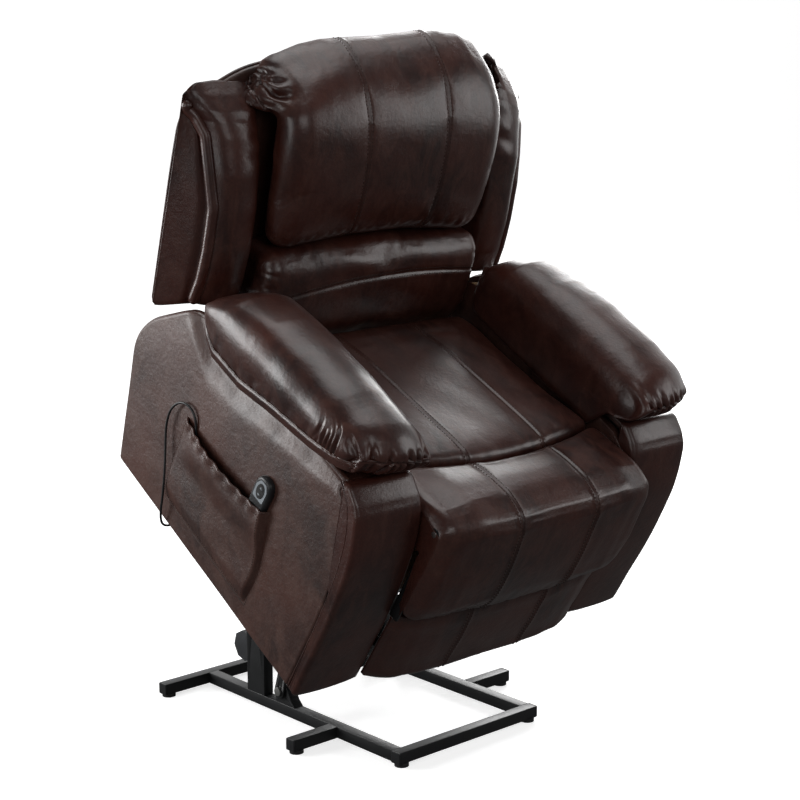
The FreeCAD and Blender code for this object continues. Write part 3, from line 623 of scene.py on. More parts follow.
# --------------------------------------------------------------------------- sewn details
def pleats(across, height, seed, span, spacing, reach, depth, width=4.0):
    """Narrow irregular folds that start at height 0 and fade upwards, in millimetres of push."""
    rng = np.random.default_rng(seed)
    total = np.zeros_like(across)
    place = span[0]
    while place < span[1]:
        length = reach * rng.uniform(0.45, 1.0)
        lean = rng.uniform(-0.22, 0.22)
        deep = depth * rng.uniform(0.55, 1.0)
        offset = across - place - lean * height
        fade = smooth(height, -6, 4) * (1 - smooth(height, 0.35 * length, length))
        wide = width * (1 + 0.012 * np.clip(height, 0, 200))
        shoulders = 0.35 * bell(np.abs(offset), 1.9 * wide, 1.3 * wide)
        total += fade * deep * (shoulders - bell(offset, 0, wide))
        place += spacing * rng.uniform(0.65, 1.45)
    return total


def sewn_lines(obj, rows, columns, picked):
    """Lines on the piece's grid, one per column of its stations, over the loop's picked stretch."""
    grid = grid_of(obj, rows)
    normals = local_normals(grid)
    return ([grid[c, picked[0]:picked[1]] for c in columns],
            [normals[c, picked[0]:picked[1]] for c in columns])


def nearest_line(obj, rows, off, barred, margin):
    """The piece's points where off is nearest to 0, one per station, and their normals.

    Barred points aren't picked, and margin stations are left out at each end.
    """
    grid = grid_of(obj, rows)
    normals = local_normals(grid)
    picked = [(i, int(np.argmin(np.abs(off[i]) + 1000 * barred[i])))
              for i in range(margin, len(off) - margin)]
    return np.array([grid[p] for p in picked]), np.array([normals[p] for p in picked])


def seam_thread(name, obj, rows, x, wanted):
    """Stitches on both sides of the long seams, over the wanted stretch of the outline."""
    lines = sewn_lines(obj, rows, columns_at(x, SEAM_PAIRS), stretch_of(wanted))
    return stitches(name, *lines)


def columns_at(x, places):
    """The stations nearest to each place across the chair."""
    centre = np.median(x, axis=1)
    return [int(np.argmin(np.abs(centre - place))) for place in places]


def stretch_of(wanted):
    """First and last of the wanted points round the middle station."""
    found = np.nonzero(wanted[len(wanted) // 2])[0]
    return int(found[0]), int(found[-1])


# x of the four rows of stitches, one on each side of each long seam
SEAM_PAIRS = [side * SEAM_X + offset for side in (-1, 1) for offset in (-6.0, 6.0)]
SEAM_WIDTH = 3.2


def seam_depth(x, depth):
    """The push that sinks the two long seams."""
    return seam(np.abs(np.abs(x) - SEAM_X), depth, SEAM_WIDTH)


def pins_for(held):
    """One pin per vertex of a piece: its grid, then the two points that close its ends."""
    return list(np.clip(held, 0, 1).ravel()) + [1.0, 1.0]


def swell(obj, rows, held, beside, reach, plain, dip, **cloth):
    inflate(obj, rows, pins_for(np.maximum(held, SEAM_HOLD * bell(beside, 0, reach))), **cloth)


# --------------------------------------------------------------------------- seat
def bowed(x):
    """How far the seam between the seat and its front roll curves back towards the sides."""
    return 34 * (x / 250) ** 2


def crowned(x):
    """1 in the middle of the chair, falling to 0 at the ends of the back cushions."""
    return 1 - (x / 290) ** 2


def make_seat():
    outline = polygon([(128, 310), (128, 427), (300, 405), (470, 387), (560, 377), (601, 360),
                       (601, 310)], [4, 22, 120, 120, 60, 22, 4], 150)
    rows = crossed(pillow(outline, -282, 282, (20, 20), marks=(-SEAM_X, SEAM_X)))
    x, y, z = fields_of(rows)
    rows[..., 1] += bowed(x) * (1 - smooth(y, 150, 330))
    rows[..., 2] -= 10 * smooth(np.abs(x), 190, 282) * smooth(z, 340, 380)
    obj = skin("seat_cushion_cover", rows, SEAT)
    free = smooth(z, 372, 384)
    beside = np.abs(x) - SEAM_X
    swell(obj, rows, 1 - free, beside, 7, 6 * smooth(z, 372, 390), 0.3, cap=0.009, slack=0.01)
    obj, rows, x, y, z = refine(obj, rows, x, y, z)
    top = smooth(z, 372, 380)
    creases = 1.6 * ripple(x + 0.5 * y, 3, low=0.003, high=0.012) * top
    front_tucks = pleats(x, y - 128 - bowed(x), 19, (-270, 270), 40, 60, 0.6, 8.0) * top
    push(obj, rows, seam_depth(x, 2.0) * top + creases + front_tucks)
    finish_piece(obj, HIDE, "seat_frame", ["seat_cushion"])
    finish_piece(seam_thread("seat_stitching", obj, rows, x, z > 366), THREAD, "seat_frame")


# y and z round the front roll and the leg pad below it, and the radius of each corner
ROLL_OUTLINE = [(110, 350), (122, 352), (123, 427), (80, 445), (20, 451), (-32, 436), (-57, 400),
                (-68, 345), (-74, 290), (-70, 228), (-52, 190), (-16, 187), (4, 188), (4, 334), (6, 368),
                (34, 392), (96, 396)]
ROLL_RADII = [4, 4, 16, 60, 60, 45, 60, 60, 60, 45, 24, 4, 3, 20, 20, 20, 6]


def make_roll():
    outline = polygon(ROLL_OUTLINE, ROLL_RADII, 220)
    rows = crossed(pillow(outline, -296, 296, (34, 34), bulge=(1, 1), marks=(-SEAM_X, SEAM_X), steps=11))
    x, y, z = fields_of(rows)
    wide = np.abs(x)
    rows[..., 1] += bowed(x) * smooth(y, 30, 122)
    setback = np.interp(wide, (0, 150, 210, 250, 280, 296), (0, 1, 5, 12, 22, 30))
    rows[..., 1] += setback * (1 - smooth(y, -70, 0))
    rows[..., 2] -= 14 * smooth(wide, 190, 296) * smooth(z, 390, 440)
    obj = skin("seat_front_and_leg_pad", rows, SEAT)
    outer = np.maximum(smooth(z, 400, 425), 1 - smooth(y, -52, -28))
    beside = wide - SEAM_X
    swell(obj, rows, 1 - outer, beside, 7, 5 * outer, 0.3, cap=0.008, slack=0.01)
    obj, rows, x, y, z, outer = refine(obj, rows, x, y, z, outer)
    folds = 1.4 * ripple(x * 0.6 + z, 9, low=0.003, high=0.012) * outer
    foot = pleats(x, z - 192, 23, (-285, 285), 42, 60, 1.1, 7.0) * (1 - smooth(y, -52, -28))
    push(obj, rows, seam_depth(x, 2.4) * outer + folds + foot)
    thread = seam_thread("roll_stitching", obj, rows, x, (z > 418) | (y < -44))
    finish_piece(obj, HIDE, None, ["seat_front_roll", "leg_rest_pad"])
    finish_piece(thread, THREAD, None)
    for piece in (obj, thread):
        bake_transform(piece)


def make_foot_panel():
    outline = polygon([(4, 2), (-34, 2), (-46, 14), (-50, 90), (-46, 160), (-36, 180), (4, 184)],
                      [3, 8, 20, 40, 20, 10, 3], 110)
    rows = crossed(pillow(outline, -297, 297, (10, 10), bulge=(1, 1), marks=(-SEAM_X, SEAM_X)))
    x, y, z = fields_of(rows)
    wide = np.abs(x)
    rows[..., 1] += np.interp(wide, (0, 170, 230, 270, 297), (0, 2, 9, 22, 40)) * (1 - smooth(y, -50, 0))
    rows[..., 2] += 8 * smooth(wide, 230, 297) * (1 - smooth(z, 4, 110))
    obj = skin("foot_panel_cover", rows, SEAT)
    outer = 1 - smooth(y, -34, -26)
    beside = wide - SEAM_X
    swell(obj, rows, 1 - outer, beside, 7, 4 * outer, 0.3, pressure=3.5, cap=0.006, slack=0.01)
    obj, rows, x, y, z, outer = refine(obj, rows, x, y, z, outer)
    push(obj, rows, seam_depth(x, 2.4) * outer
         + 1.0 * ripple(x * 0.5 + z, 14, low=0.004, high=0.014) * outer)
    finish_piece(obj, HIDE, "footrest", ["foot_panel", "footrest_board"])
    finish_piece(seam_thread("foot_panel_stitching", obj, rows, x, y < -33), THREAD, "footrest")


# --------------------------------------------------------------------------- backrest
# |x| and how far the top of the cushion stands below its highest line
CROWN_DROP = ((0, 3), (107, 0), (150, 0), (200, 6), (244, 20), (268, 38), (290, 62), (303, 84))


# |x|, y and z of the point at each top corner that the folds run to
GATHER_POINT = (322.0, -34.0, 478.0)


def make_upper_back():
    outline = polygon([(-31, 500), (-31, 152), (-128, 150), (-160, 176), (-171, 240), (-173, 320),
                       (-166, 400), (-145, 458), (-114, 503), (-80, 534), (-42, 556), (-6, 556),
                       (-3, 520), (-16, 505)],
                      [4, 6, 40, 50, 90, 120, 90, 60, 60, 60, 30, 16, 6, 4], 220)
    rows = crossed(pillow(outline, -298, 292, (50, 68), bulge=(2, 2), marks=(-SEAM_X, SEAM_X), steps=15))
    x, y, z = fields_of(rows)
    wide = np.abs(x)
    rows[..., 0] *= np.interp(z, (150, 320, 480), (0.955, 0.99, 1.02))
    rows[..., 2] += (16 * crowned(x) - 5) * (1 - smooth(z, 150, 240)) * smooth(-y, 40, 90)
    behind = smooth(y, -112, -50) * smooth(wide, 150, 298)
    rows[..., 0] -= np.sign(x) * 50 * behind * (1 - smooth(z, 390, 470))
    rows[..., 2] += (0.06 * x - np.interp(wide, *np.array(CROWN_DROP, float).T)) * smooth(z, 400, 550)
    corner = bell(z, 505, 60) * smooth(y, -120, -40) * smooth(wide, 200, 298)
    rows[..., 0] += np.sign(x) * (20 - 0.047 * x) * corner
    obj = skin("upper_back_cover", rows, BACK)
    front = smooth(-y, 60, 100)
    swell(obj, rows, 1 - front, wide - SEAM_X, 8, 6 * front, 0.3, cap=0.010, slack=0.015)
    obj, rows, x, y, z, front = refine(obj, rows, x, y, z, front)
    wide = np.abs(x)
    moved = placed(BACK.inverted(), grid_of(obj, rows))
    reach = np.abs(moved[..., 0])
    away = np.stack([reach, moved[..., 1], moved[..., 2]], axis=-1) - np.array(GATHER_POINT)
    radial = np.linalg.norm(away, axis=-1)
    turn = np.degrees(np.arctan2(away[..., 2], -away[..., 0])) + 0.2 * away[..., 1]
    uneven = 9 * ripple(radial, 33, low=0.008, high=0.02)
    gather = pleats(turn + uneven, radial, 27, (-120, 140), 24, 118, 13.0, 6.0) * smooth(radial, 2, 20)
    gather += 5.0 * bell(turn + uneven, 34, 9) * bell(radial, 46, 26)
    gather += 6.0 * bell(turn, 4, 8) * bell(radial, 40, 22)
    foot = pleats(x, z - 165, 5, (-280, 280), 30, 70, 1.8, 6.0) * front
    cover = np.maximum(front, smooth(z, 480, 540))
    soft = 2.2 * ripple(x * 0.5 + z * 0.7, 31, low=0.003, high=0.012) * front
    push(obj, rows, seam_depth(x, 2.6) * cover + gather + foot + soft)
    finish_piece(obj, HIDE, "backrest", ["upper_back_cushion"])
    thread = seam_thread("upper_back_stitching", obj, rows, x, (y < -20) & (z > 176))
    finish_piece(thread, THREAD, "backrest")


def make_back_lining():
    """Leather over the board behind the cushions, seen in the gaps beside them."""
    half = [(281, -116), (281, 70), (313, 84), (313, 470), (281, 496)]
    outline = polygon(mirrored(half), 6, 200)
    rows = standing(pillow(outline, -33.5, -12.8, (2, 2), bulge=(0.3, 0.3)))
    obj = skin("back_board_lining", rows, BACK)
    y, z, x = rows[..., 1], rows[..., 2], rows[..., 0]
    push(obj, rows, 0.8 * ripple(x * 0.5 + z, 73, low=0.004, high=0.014) * (1 - smooth(y, -33, -30)))
    finish_piece(obj, HIDE_FLAT, "backrest", ["back_board"])


def make_lumbar():
    outline = polygon([(-31, 140), (-31, -92), (-106, -92), (-146, -30), (-160, 50), (-158, 118),
                       (-138, 149), (-60, 149)], [4, 4, 24, 60, 60, 30, 14, 4], 230)
    rows = crossed(pillow(outline, -290, 290, (30, 30), bulge=(2, 2)))
    x, y, z = fields_of(rows)
    rows[..., 1] -= 4 * crowned(x) * smooth(-y, 60, 120)
    rows[..., 2] += (15 * crowned(x) - 6) * smooth(z, 60, 149) * smooth(-y, 40, 90)
    obj = skin("lumbar_cover", rows, BACK)
    line = 82 - 26 * (x / 280) ** 2 + 0.035 * x
    front = smooth(-y, 70, 110)
    swell(obj, rows, 1 - front, z - line, 7, 5 * front, 0.4, cap=0.009, slack=0.012)
    obj, rows, x, y, z, front, line = refine(obj, rows, x, y, z, front, line)
    ends = pleats(z, 290 - np.abs(x), 44, (-70, 130), 30, 60, 1.2, 5.0) * front
    band = pleats(x, 150 - z, 12, (-260, 260), 44, 50, 0.7, 8.0) * front
    push(obj, rows, seam(np.abs(z - line), 3.0, 4.5) * front + ends + band
         + 1.4 * ripple(x * 0.4 + z, 17, low=0.004, high=0.015) * front)
    finish_piece(obj, HIDE, "backrest", ["lumbar_cushion"])
    lines, ups = [], []
    for offset in (-6.0, 6.0):
        path, up = nearest_line(obj, rows, z - line - offset, y > -70, 8)
        lines.append(along(path, 220, False))
        ups.append(np.tile(np.mean(up, axis=0), (220, 1)))
    finish_piece(stitches("lumbar_stitching", lines, ups), THREAD, "backrest")


# |x| and height along the top of each bolster; the two are stuffed unevenly
WING_TOP = {-1: ((317, 464), (400, 467), (440, 463), (453, 455), (466, 440)),
            1: ((317, 494), (360, 486), (397, 468), (425, 445), (445, 420), (466, 390))}
# height, |x| and depth of the bead along the outer edge, depth of the padded face
WING_SECTIONS = ((4, 418, -82, -106), (70, 415, -92, -118), (150, 413, -96, -124),
                 (235, 412, -92, -122), (305, 420, -73, -112), (375, 427, -52, -92),
                 (405, 438, -28, -78), (425, 450, -15, -64), (450, 457, -14, -40), (470, 460, -14, -16))
WING_REAR_X, WING_TOP_HEIGHT = 466.0, 470.0
# where the bead is round the outline, its radius and the height at which it ends
BEAD_COLUMN, BEAD_RADIUS, BEAD_END = 46, 11.5, 456


def wing_section(z):
    """The closed outline of a bolster at one height, as (|x|, y), with the bead at BEAD_COLUMN."""
    heights, bead_x, bead_y, face = np.array(WING_SECTIONS, float).T
    px, py, deep = (float(np.interp(z, heights, values)) for values in (bead_x, bead_y, face))
    back = along(np.array([(318, -13.0), (WING_REAR_X - 2, -13.0)]), 21, False)[:-1]
    panel = along(np.array([(WING_REAR_X, -13.5), (px + 1, py + 1)]), 26, False)
    padded = spline([(px, py), (px - 3, min(py - 12, -13.2)), (px - 20, deep + 4), (376, deep - 4),
                     (338, deep), (320, deep + 7), (317, 0.80 * deep - 2)], 62, closed=False)
    inner = along(np.array([(317, 0.78 * deep - 2), (317, -14.5)]), 16, False)
    return np.vstack([back, panel, padded, inner])


def make_wings():
    for side, name in SIDES:
        heights = np.concatenate([[4, 5, 7, 10], np.arange(16, 400, 9), np.arange(400, 464, 5),
                                  [465, 468, 470]])
        rows = []
        for height in heights:
            loop = wing_section(height)
            middle = loop.mean(axis=0)
            tuck = 1 - 0.05 * (1 - smooth(height, 4, 11))
            rows.append([(middle[0] + (u - middle[0]) * tuck, middle[1] + (v - middle[1]) * tuck, height)
                         for u, v in loop])
        rows = np.array(rows)
        x, y, z = fields_of(rows)
        top = np.interp(x, *np.array(WING_TOP[side], float).T)
        rows[..., 2] += (top - WING_TOP_HEIGHT) * smooth(z, 200, WING_TOP_HEIGHT)
        rows[..., 2] += 27 * (1 - smooth(z, 4, 130)) * smooth(-y, 14, 86)
        rows[..., 0] *= side
        obj = skin(f"{name}_wing_cover", rows, BACK)
        column = np.arange(rows.shape[1])[None, :] + np.zeros(rows.shape[:2])
        face = smooth(column, BEAD_COLUMN + 2, BEAD_COLUMN + 14) * (1 - smooth(column, 104, 112))
        held = 1 - face * (1 - 0.6 * smooth(z, 380, 440))
        inflate(obj, rows, pins_for(held), pressure=3.5, cap=0.008)
        obj, rows, x, y, z, column, face = refine(obj, rows, x, y, z, column, face)
        along_top = pleats(z, x - 317, 55 + side, (340, 450), 34, 90, 2.4, 9.0) * face
        dimples = 0.8 * ripple(x * 1.2 + z * 0.2, 57, low=0.010, high=0.03) * smooth(z, 425, 455)
        soft = 1.5 * ripple(z * 0.8 + x * 0.3, 51 + side, low=0.004, high=0.014) * face
        behind = -6.0 * bell(column, BEAD_COLUMN - 5, 2.6) * (1 - smooth(z, 400, 420))
        push(obj, rows, soft + along_top + dimples + behind)
        finish_piece(obj, HIDE, "backrest", [f"{name}_wing"])
        grid = placed(BACK.inverted(), grid_of(obj, rows))
        ends = 2 * int(np.argmin(np.abs(heights - BEAD_END)))
        bead = grid[2:ends:2, 2 * BEAD_COLUMN] + np.array([side * 2.5, -2.5, 0.0])
        welt = piping(f"{name}_wing_piping", bead, BEAD_RADIUS, BACK, wobble=0.04, seed=61,
                      sides=22)
        finish_piece(welt, HIDE, "backrest")


def mirrored(half):
    """A closed outline from its points on the sitter's left."""
    return half + [(-x, z) for x, z in half[::-1]]


def make_rear_cover():
    half = [(290, -110), (290, 2), (456, 3), (459, 300), (457, 385), (436, 420), (392, 452), (328, 486),
            (180, 516)]
    radii = [10, 4, 12, 120, 50, 40, 60, 80, 150]
    outline = polygon(mirrored(half), radii + radii[::-1], 280)
    rows = standing(pillow(outline, -14, 0.5, (5, 7), bulge=(1, 6)))
    obj = skin("rear_back_skin", rows, BACK)
    y, z, x = rows[..., 1], rows[..., 2], rows[..., 0]
    push(obj, rows, 1.2 * ripple(x * 0.5 + z, 71, low=0.003, high=0.012) * smooth(y, -4, 0))
    finish_piece(obj, HIDE_FLAT, "backrest", ["rear_back_cover"])
    edge = [(u, -2.0, v) for u, v in outline]
    finish_piece(piping("rear_back_piping", edge, 3.6, BACK, closed=True), HIDE, "backrest")


# --------------------------------------------------------------------------- arms
# y along the arm, then heights of the pad's top, its sewn lower edge, and its outer edge on the panel
PAD_PROFILE = np.array(((60, 560, 500, 492), (100, 562, 474, 476), (142, 565, 466, 464),
                        (226, 570, 462, 447), (354, 566, 456, 422), (447, 558, 451, 399),
                        (545, 538, 449, 396), (590, 512, 449, 420), (625, 490, 450, 442)), float)
# height of the strip sewn between the outer edge and the pad's side
BOXING = 22.0
# y at which the nose and the rear end begin, and how far each runs out beyond it
NOSE_Y, NOSE_REACH, REAR_Y, REAR_REACH = 144, 64, 566, 48
# how deep the flap hangs inside the arm, its least depth, the points round a section and its middle
FLAP, LEAST_FLAP, PAD_POINTS, PAD_MIDDLE = 68, 3, 176, 376


def arm_section(y, share, flap):
    """The closed outline of an arm pillow at one depth, as (x, z); share closes the two ends."""
    top, low, edge = (float(np.interp(y, PAD_PROFILE[:, 0], PAD_PROFILE[:, k])) for k in (1, 2, 3))
    middle = 0.5 * (top + low)
    top, low = middle + (top - middle) * share, middle + (low - middle) * share
    edge = low + min(edge - low, 0.0) * share
    high = top - low
    shape = [(330, low - 1), (440, low - 1), (452, 0.5 * (low + edge)), (455, edge), (459, edge - 1),
             (463, edge + 0.5 * BOXING * share), (465, edge + BOXING * share),
             (475, low + 0.42 * high), (468, low + 0.74 * high), (440, top + 1), (384, top + 5),
             (330, top - 2), (296, top - 0.26 * high), (284, top - 0.6 * high),
             (282, low - 0.2 * flap), (282, low - 0.85 * flap), (287, low - 1.02 * flap),
             (296, low - 0.95 * flap), (297, low - 0.6 * flap), (298, low - 0.15 * flap), (308, low)]
    loop = spline(shape, PAD_POINTS)
    loop[:, 0] = PAD_MIDDLE + (loop[:, 0] - PAD_MIDDLE) * (0.76 + 0.24 * share)
    return loop


def arm_rows():
    """The sections of an arm pillow from its nose to its rear end."""
    rings, depths = [], []
    for a in np.linspace(0.05, math.pi / 2, 15):
        depths.append(NOSE_Y - NOSE_REACH * math.cos(a))
        rings.append(arm_section(depths[-1], math.sin(a), LEAST_FLAP))
    for y in np.arange(NOSE_Y + 8, REAR_Y, 8.0):
        depths.append(y)
        rings.append(arm_section(y, 1.0, max(FLAP * smooth(y, 140, 190), LEAST_FLAP)))
    for a in np.linspace(math.pi / 2 - 0.12, 0.06, 9):
        depths.append(REAR_Y + REAR_REACH * math.cos(a))
        share = math.sin(a)
        flap = LEAST_FLAP + (FLAP - LEAST_FLAP) * smooth(share, 0.3, 1.0)
        rings.append(arm_section(depths[-1], share, flap))
    return np.array([[(u, d, v) for u, v in loop] for d, loop in zip(depths, rings)])


def make_arm_pads():
    for side, name in SIDES:
        rows = arm_rows()
        x, y, z = fields_of(rows)
        rows[..., 1] += 32 * smooth(x, 370, 476) * (1 - smooth(y, 110, 240))
        rows[..., 0] *= side
        obj = skin(f"{name}_arm_pillow", rows, SEAT)
        low, edge = (np.interp(y, PAD_PROFILE[:, 0], PAD_PROFILE[:, k]) for k in (2, 3))
        sewn = np.where(x > 452, edge + BOXING, low)
        free = smooth(z, sewn + 8, sewn + 34)
        inflate(obj, rows, pins_for(1 - free), pressure=3.5, cap=0.007)
        obj, rows, x, y, z, low, sewn, free = refine(obj, rows, x, y, z, low, sewn, free)
        hem = x + np.clip(y - 118, 0, 400) * smooth(x, 440, 470)
        above = z - sewn - 4
        nose = 1 - smooth(y, 128, 262)
        gather = pleats(hem, above, 81 + side, (285, 640), 17, 95, 8.5, 3.4) * nose
        rear = pleats(x, above, 91, (290, 470), 30, 60, 3.0, 5.0) * smooth(y, 560, 600)
        along_side = pleats(y, above, 95, (200, 590), 46, 46, 1.6, 7.0) * smooth(x, 440, 465)
        sag = 2.4 * ripple(y * 0.8 + x * 0.3, 87 + side, low=0.004, high=0.013) * free
        skirt = -3.2 * bell(z - sewn, 2, 4.5) * smooth(x, 300, 330)
        push(obj, rows, gather + rear + along_side + sag + skirt)
        finish_piece(obj, HIDE, "seat_frame", [f"{name}_arm_pad"])
        path, ups = nearest_line(obj, rows, z - sewn - 1.0, x < 430, 5)
        bead = along(path / MM + ups * 0.5, 160, False)
        welt = piping(f"{name}_arm_piping", bead, 2.1, Matrix.Scale(MM, 4), wobble=0.08, seed=97)
        finish_piece(welt, HIDE_FLAT, "seat_frame")
        path, ups = nearest_line(obj, rows, z - sewn + 7.0, x < 430, 5)
        thread = stitches(f"{name}_arm_stitching", [path], [ups], pitch=6.0, length=4.2, radius=0.6)
        finish_piece(thread, THREAD, "seat_frame")


def make_linings():
    """Leather over the inner faces of the arms, which show past the ends of the cushions."""
    outline = polygon([(30, 60), (34, 213), (50, 346), (80, 413), (120, 431), (622, 431), (715, 332),
                       (733, 265), (704, 150), (688, 60)], [4, 90, 40, 6, 3, 30, 30, 20, 60, 4], 180)
    for side, name in SIDES:
        rows = crossed(pillow(outline, 294.8, 313.5, (1.4, 1.4), bulge=(0.3, 0.3), step=5))
        x, y, z = fields_of(rows)
        rows[..., 0] *= side
        obj = skin(f"{name}_arm_lining", rows, SEAT)
        sag = 0.8 * ripple(y * 0.6 + z * 0.5, 131, low=0.006, high=0.02)
        push(obj, rows, sag * (1 - smooth(x, 295, 298)))
        finish_piece(obj, HIDE_FLAT, "seat_frame")


# y and z of the arm front's outer and inner faces, seen from the side
FRONT_OUTER = [(0, 0), (3, 213), (21, 356), (56, 438), (104, 463)]
FRONT_INNER = [(120, 462), (118, 440), (76, 418), (46, 350), (29, 213), (25, 0)]


def make_arm_fronts():
    for side, name in SIDES:
        outline = polygon(FRONT_OUTER + FRONT_INNER, [8, 120, 90, 50, 30, 3, 6, 30, 90, 120, 4], 190)
        rows = crossed(pillow(outline, 297, 461, (11, 9), bulge=(1, 1), step=11))
        x, y, z = fields_of(rows)
        face_y, face_z = np.array(FRONT_OUTER, float).T
        ahead = 1 - smooth(y - np.interp(z, face_z, face_y), 2, 14)
        crown = np.clip(1 - ((x - 379) / 84) ** 2, 0, 1) ** 0.6
        rows[..., 0] *= side
        obj = skin(f"{name}_arm_front_cover", rows, SEAT)
        soft = ripple(z * 0.5 + x * 0.2, 101 + side, low=0.006, high=0.02)
        push(obj, rows, (6.0 * crown + 1.2 * soft) * ahead)
        finish_piece(obj, HIDE, "seat_frame", [f"{name}_arm_front"])
        edge = spline([(side * 460, u + 23, max(v - 3, 4)) for u, v in FRONT_OUTER], 140, closed=False)
        welt = piping(f"{name}_arm_front_piping", edge, 2.4, SEAT, wobble=0.02, seed=103)
        finish_piece(welt, HIDE, "seat_frame")


# y and z round the side panel
PANEL_OUTLINE = [(25, 0), (29, 213), (46, 350), (76, 418), (118, 440), (122, 458), (240, 454), (529, 440),
                 (634, 446), (742, 331), (766, 265), (725, 137), (680, 0)]


def make_side_panels():
    """Flat panels whose upper edge rolls in under the arm pad."""
    shares = (0.995, 0.985, 0.97, 0.95, 0.925, 0.90, 0.87, 0.83, 0.78, 0.72, 0.64, 0.54, 0.42, 0.3,
              0.18, 0.07)
    for side, name in SIDES:
        outline = polygon(PANEL_OUTLINE, [8, 120, 60, 30, 8, 10, 120, 120, 45, 60, 45, 150, 8], 320)
        rows = crossed(pillow(outline, 435, 461, (3, 8), bulge=(0.5, 4.0), step=8, shares=shares))
        x, y, z = fields_of(rows)
        edge = np.interp(y, PAD_PROFILE[:, 0], PAD_PROFILE[:, 3])
        under = 1 - smooth(edge - z, -6, 40)
        outer = smooth(x, 452, 459)
        rows[..., 0] -= 11 * under * outer * smooth(y, 90, 130) * (1 - smooth(y, 620, 660))
        rows[..., 0] *= side
        obj = skin(f"{name}_side_panel_cover", rows, SEAT)
        puckers = pleats(y, edge - z, 117, (130, 600), 90, 80, 0.5, 14.0)
        waves = 0.9 * ripple(y * 0.6 + z * 0.7, 111 + side, low=0.002, high=0.008)
        push(obj, rows, (waves + puckers) * outer)
        finish_piece(obj, HIDE_FLAT, "seat_frame", [f"{name}_side_panel"])


# outer face of the side panel, and the pouch's corners on it: front low, front top, rear top, rear low
POCKET_X = -460.0
POCKET_CORNERS = ((207.0, 45.0), (240.0, 265.0), (546.0, 247.0), (529.0, 49.0))
POUCH_THICKNESS = 1.8
# how far the front edge bows forward and the mouth sags in the middle
FRONT_BOW, MOUTH_SAG = 17.0, 13.0
# the pouch's depth at the lower seam, what it gains above it, and what the handset adds at the mouth
POUCH_LOW, POUCH_GAIN, HANDSET_ROOM = 5.5, 7.9, 8.2
PUCKERS, PUCKER_DEPTH = 9, 1.8


def make_pocket():
    """A flat pouch sewn to the panel on three sides, whose gathered mouth gapes."""
    front_low, front_top, rear_top, rear_low = (np.array(corner) for corner in POCKET_CORNERS)
    wide, tall = 96, 60
    s, t = np.meshgrid(np.arange(wide + 1) / wide, np.arange(tall + 1) / tall, indexing="ij")
    y, z = ((front_low[k] * (1 - s) + rear_low[k] * s) * (1 - t)
            + (front_top[k] * (1 - s) + rear_top[k] * s) * t for k in (0, 1))
    y -= FRONT_BOW * bell(t, 0.45, 0.34) * (1 - s) ** 2
    z -= MOUTH_SAG * np.sin(math.pi * s) ** 0.8 * t ** 2
    deep = POUCH_LOW + POUCH_GAIN * smooth(t, 0.0, 0.2)
    deep -= 3.0 * smooth(s, 0.6, 0.95) * smooth(t, 0.3, 0.6)
    deep += HANDSET_ROOM * smooth(t, 0.55, 0.85) * (1 - smooth(s, 0.65, 0.97))
    sewn_down = smooth(s, 0.0, 0.030) * smooth(1 - s, 0.0, 0.07) * smooth(t, 0.0, 0.07)
    wave = np.sin(s * 2 * math.pi * PUCKERS + 1.5 * np.sin(7 * s))
    pucker = PUCKER_DEPTH * wave * smooth(t, 0.88, 0.99)
    sag = 1.2 * ripple(y * 0.6 + z, 127, low=0.004, high=0.014)
    x = POCKET_X - 1.2 - (deep + sag + pucker) * sewn_down
    grid = np.stack([x, y, z], axis=-1)
    outer = grid.reshape(-1, 3)
    index = np.arange(len(outer)).reshape(grid.shape[:2])
    shift, across = len(outer), tall + 1
    faces = []
    for a in index[:wide, :tall].ravel().tolist():
        faces.append((a, a + across, a + across + 1, a + 1))
        faces.append((shift + a, shift + a + 1, shift + a + across + 1, shift + a + across))
    rim = np.concatenate([index[:, 0], index[wide, 1:], index[wide - 1::-1, tall],
                          index[0, tall - 1:0:-1]]).tolist()
    for a, b in zip(rim, rim[1:] + rim[:1]):
        faces.append((a, b, shift + b, shift + a))
    obj = build("pocket_pouch", np.vstack([outer, outer + (POUCH_THICKNESS, 0, 0)]), faces, SEAT)
    finish_piece(obj, HIDE_FLAT, "seat_frame", ["side_pocket"])
    hem = piping("pocket_hem", grid[:, tall] + (0.8, 0, 0.6), 2.3, SEAT, wobble=0.3, seed=121)
    finish_piece(hem, HIDE_FLAT, "seat_frame")
    # a thin dark cord, in the thread colour, along the pouch's front and lower edges
    edge_cord = along(np.vstack([grid[0, tall - 1:0:-1], grid[:, 0]]) - (0.4, 0, 0), 260, False)
    finish_piece(piping("pocket_edge_cord", edge_cord, 1.3, SEAT), THREAD, "seat_frame")
    lines = [placed(SEAT, line) for line in (grid[4:wide - 3, tall - 3], grid[4, 3:tall - 1],
                                             grid[wide - 4, 3:tall - 1], grid[4:wide - 3, 4])]
    ups = [np.tile((-1.0, 0.0, 0.0), (len(line), 1)) for line in lines]
    finish_piece(stitches("pocket_stitching", lines, ups, pitch=6.0, length=4.0, radius=0.6), THREAD,
                 "seat_frame")


# --------------------------------------------------------------------------- handset
HANDSET_MIDDLE, HANDSET_LOW = 272.0, 203.0
# x of the shell's outer and inner faces, of the window's and of the arrows'
SHELL_FACES, WINDOW_FACES, ARROW_FACES = (-478.4, -461.2), (-480.1, -478.0), (-481.25, -480.4)
# half width, half height and height above the shell's foot of the window
WINDOW_ACROSS, WINDOW_UP, WINDOW_PLACE = 11.5, 17.0, 93.0
# name, height above the shell's foot and which way its arrow points
BUTTON_PLACES = (("down_button", 85.0, -1), ("up_button", 101.0, 1))


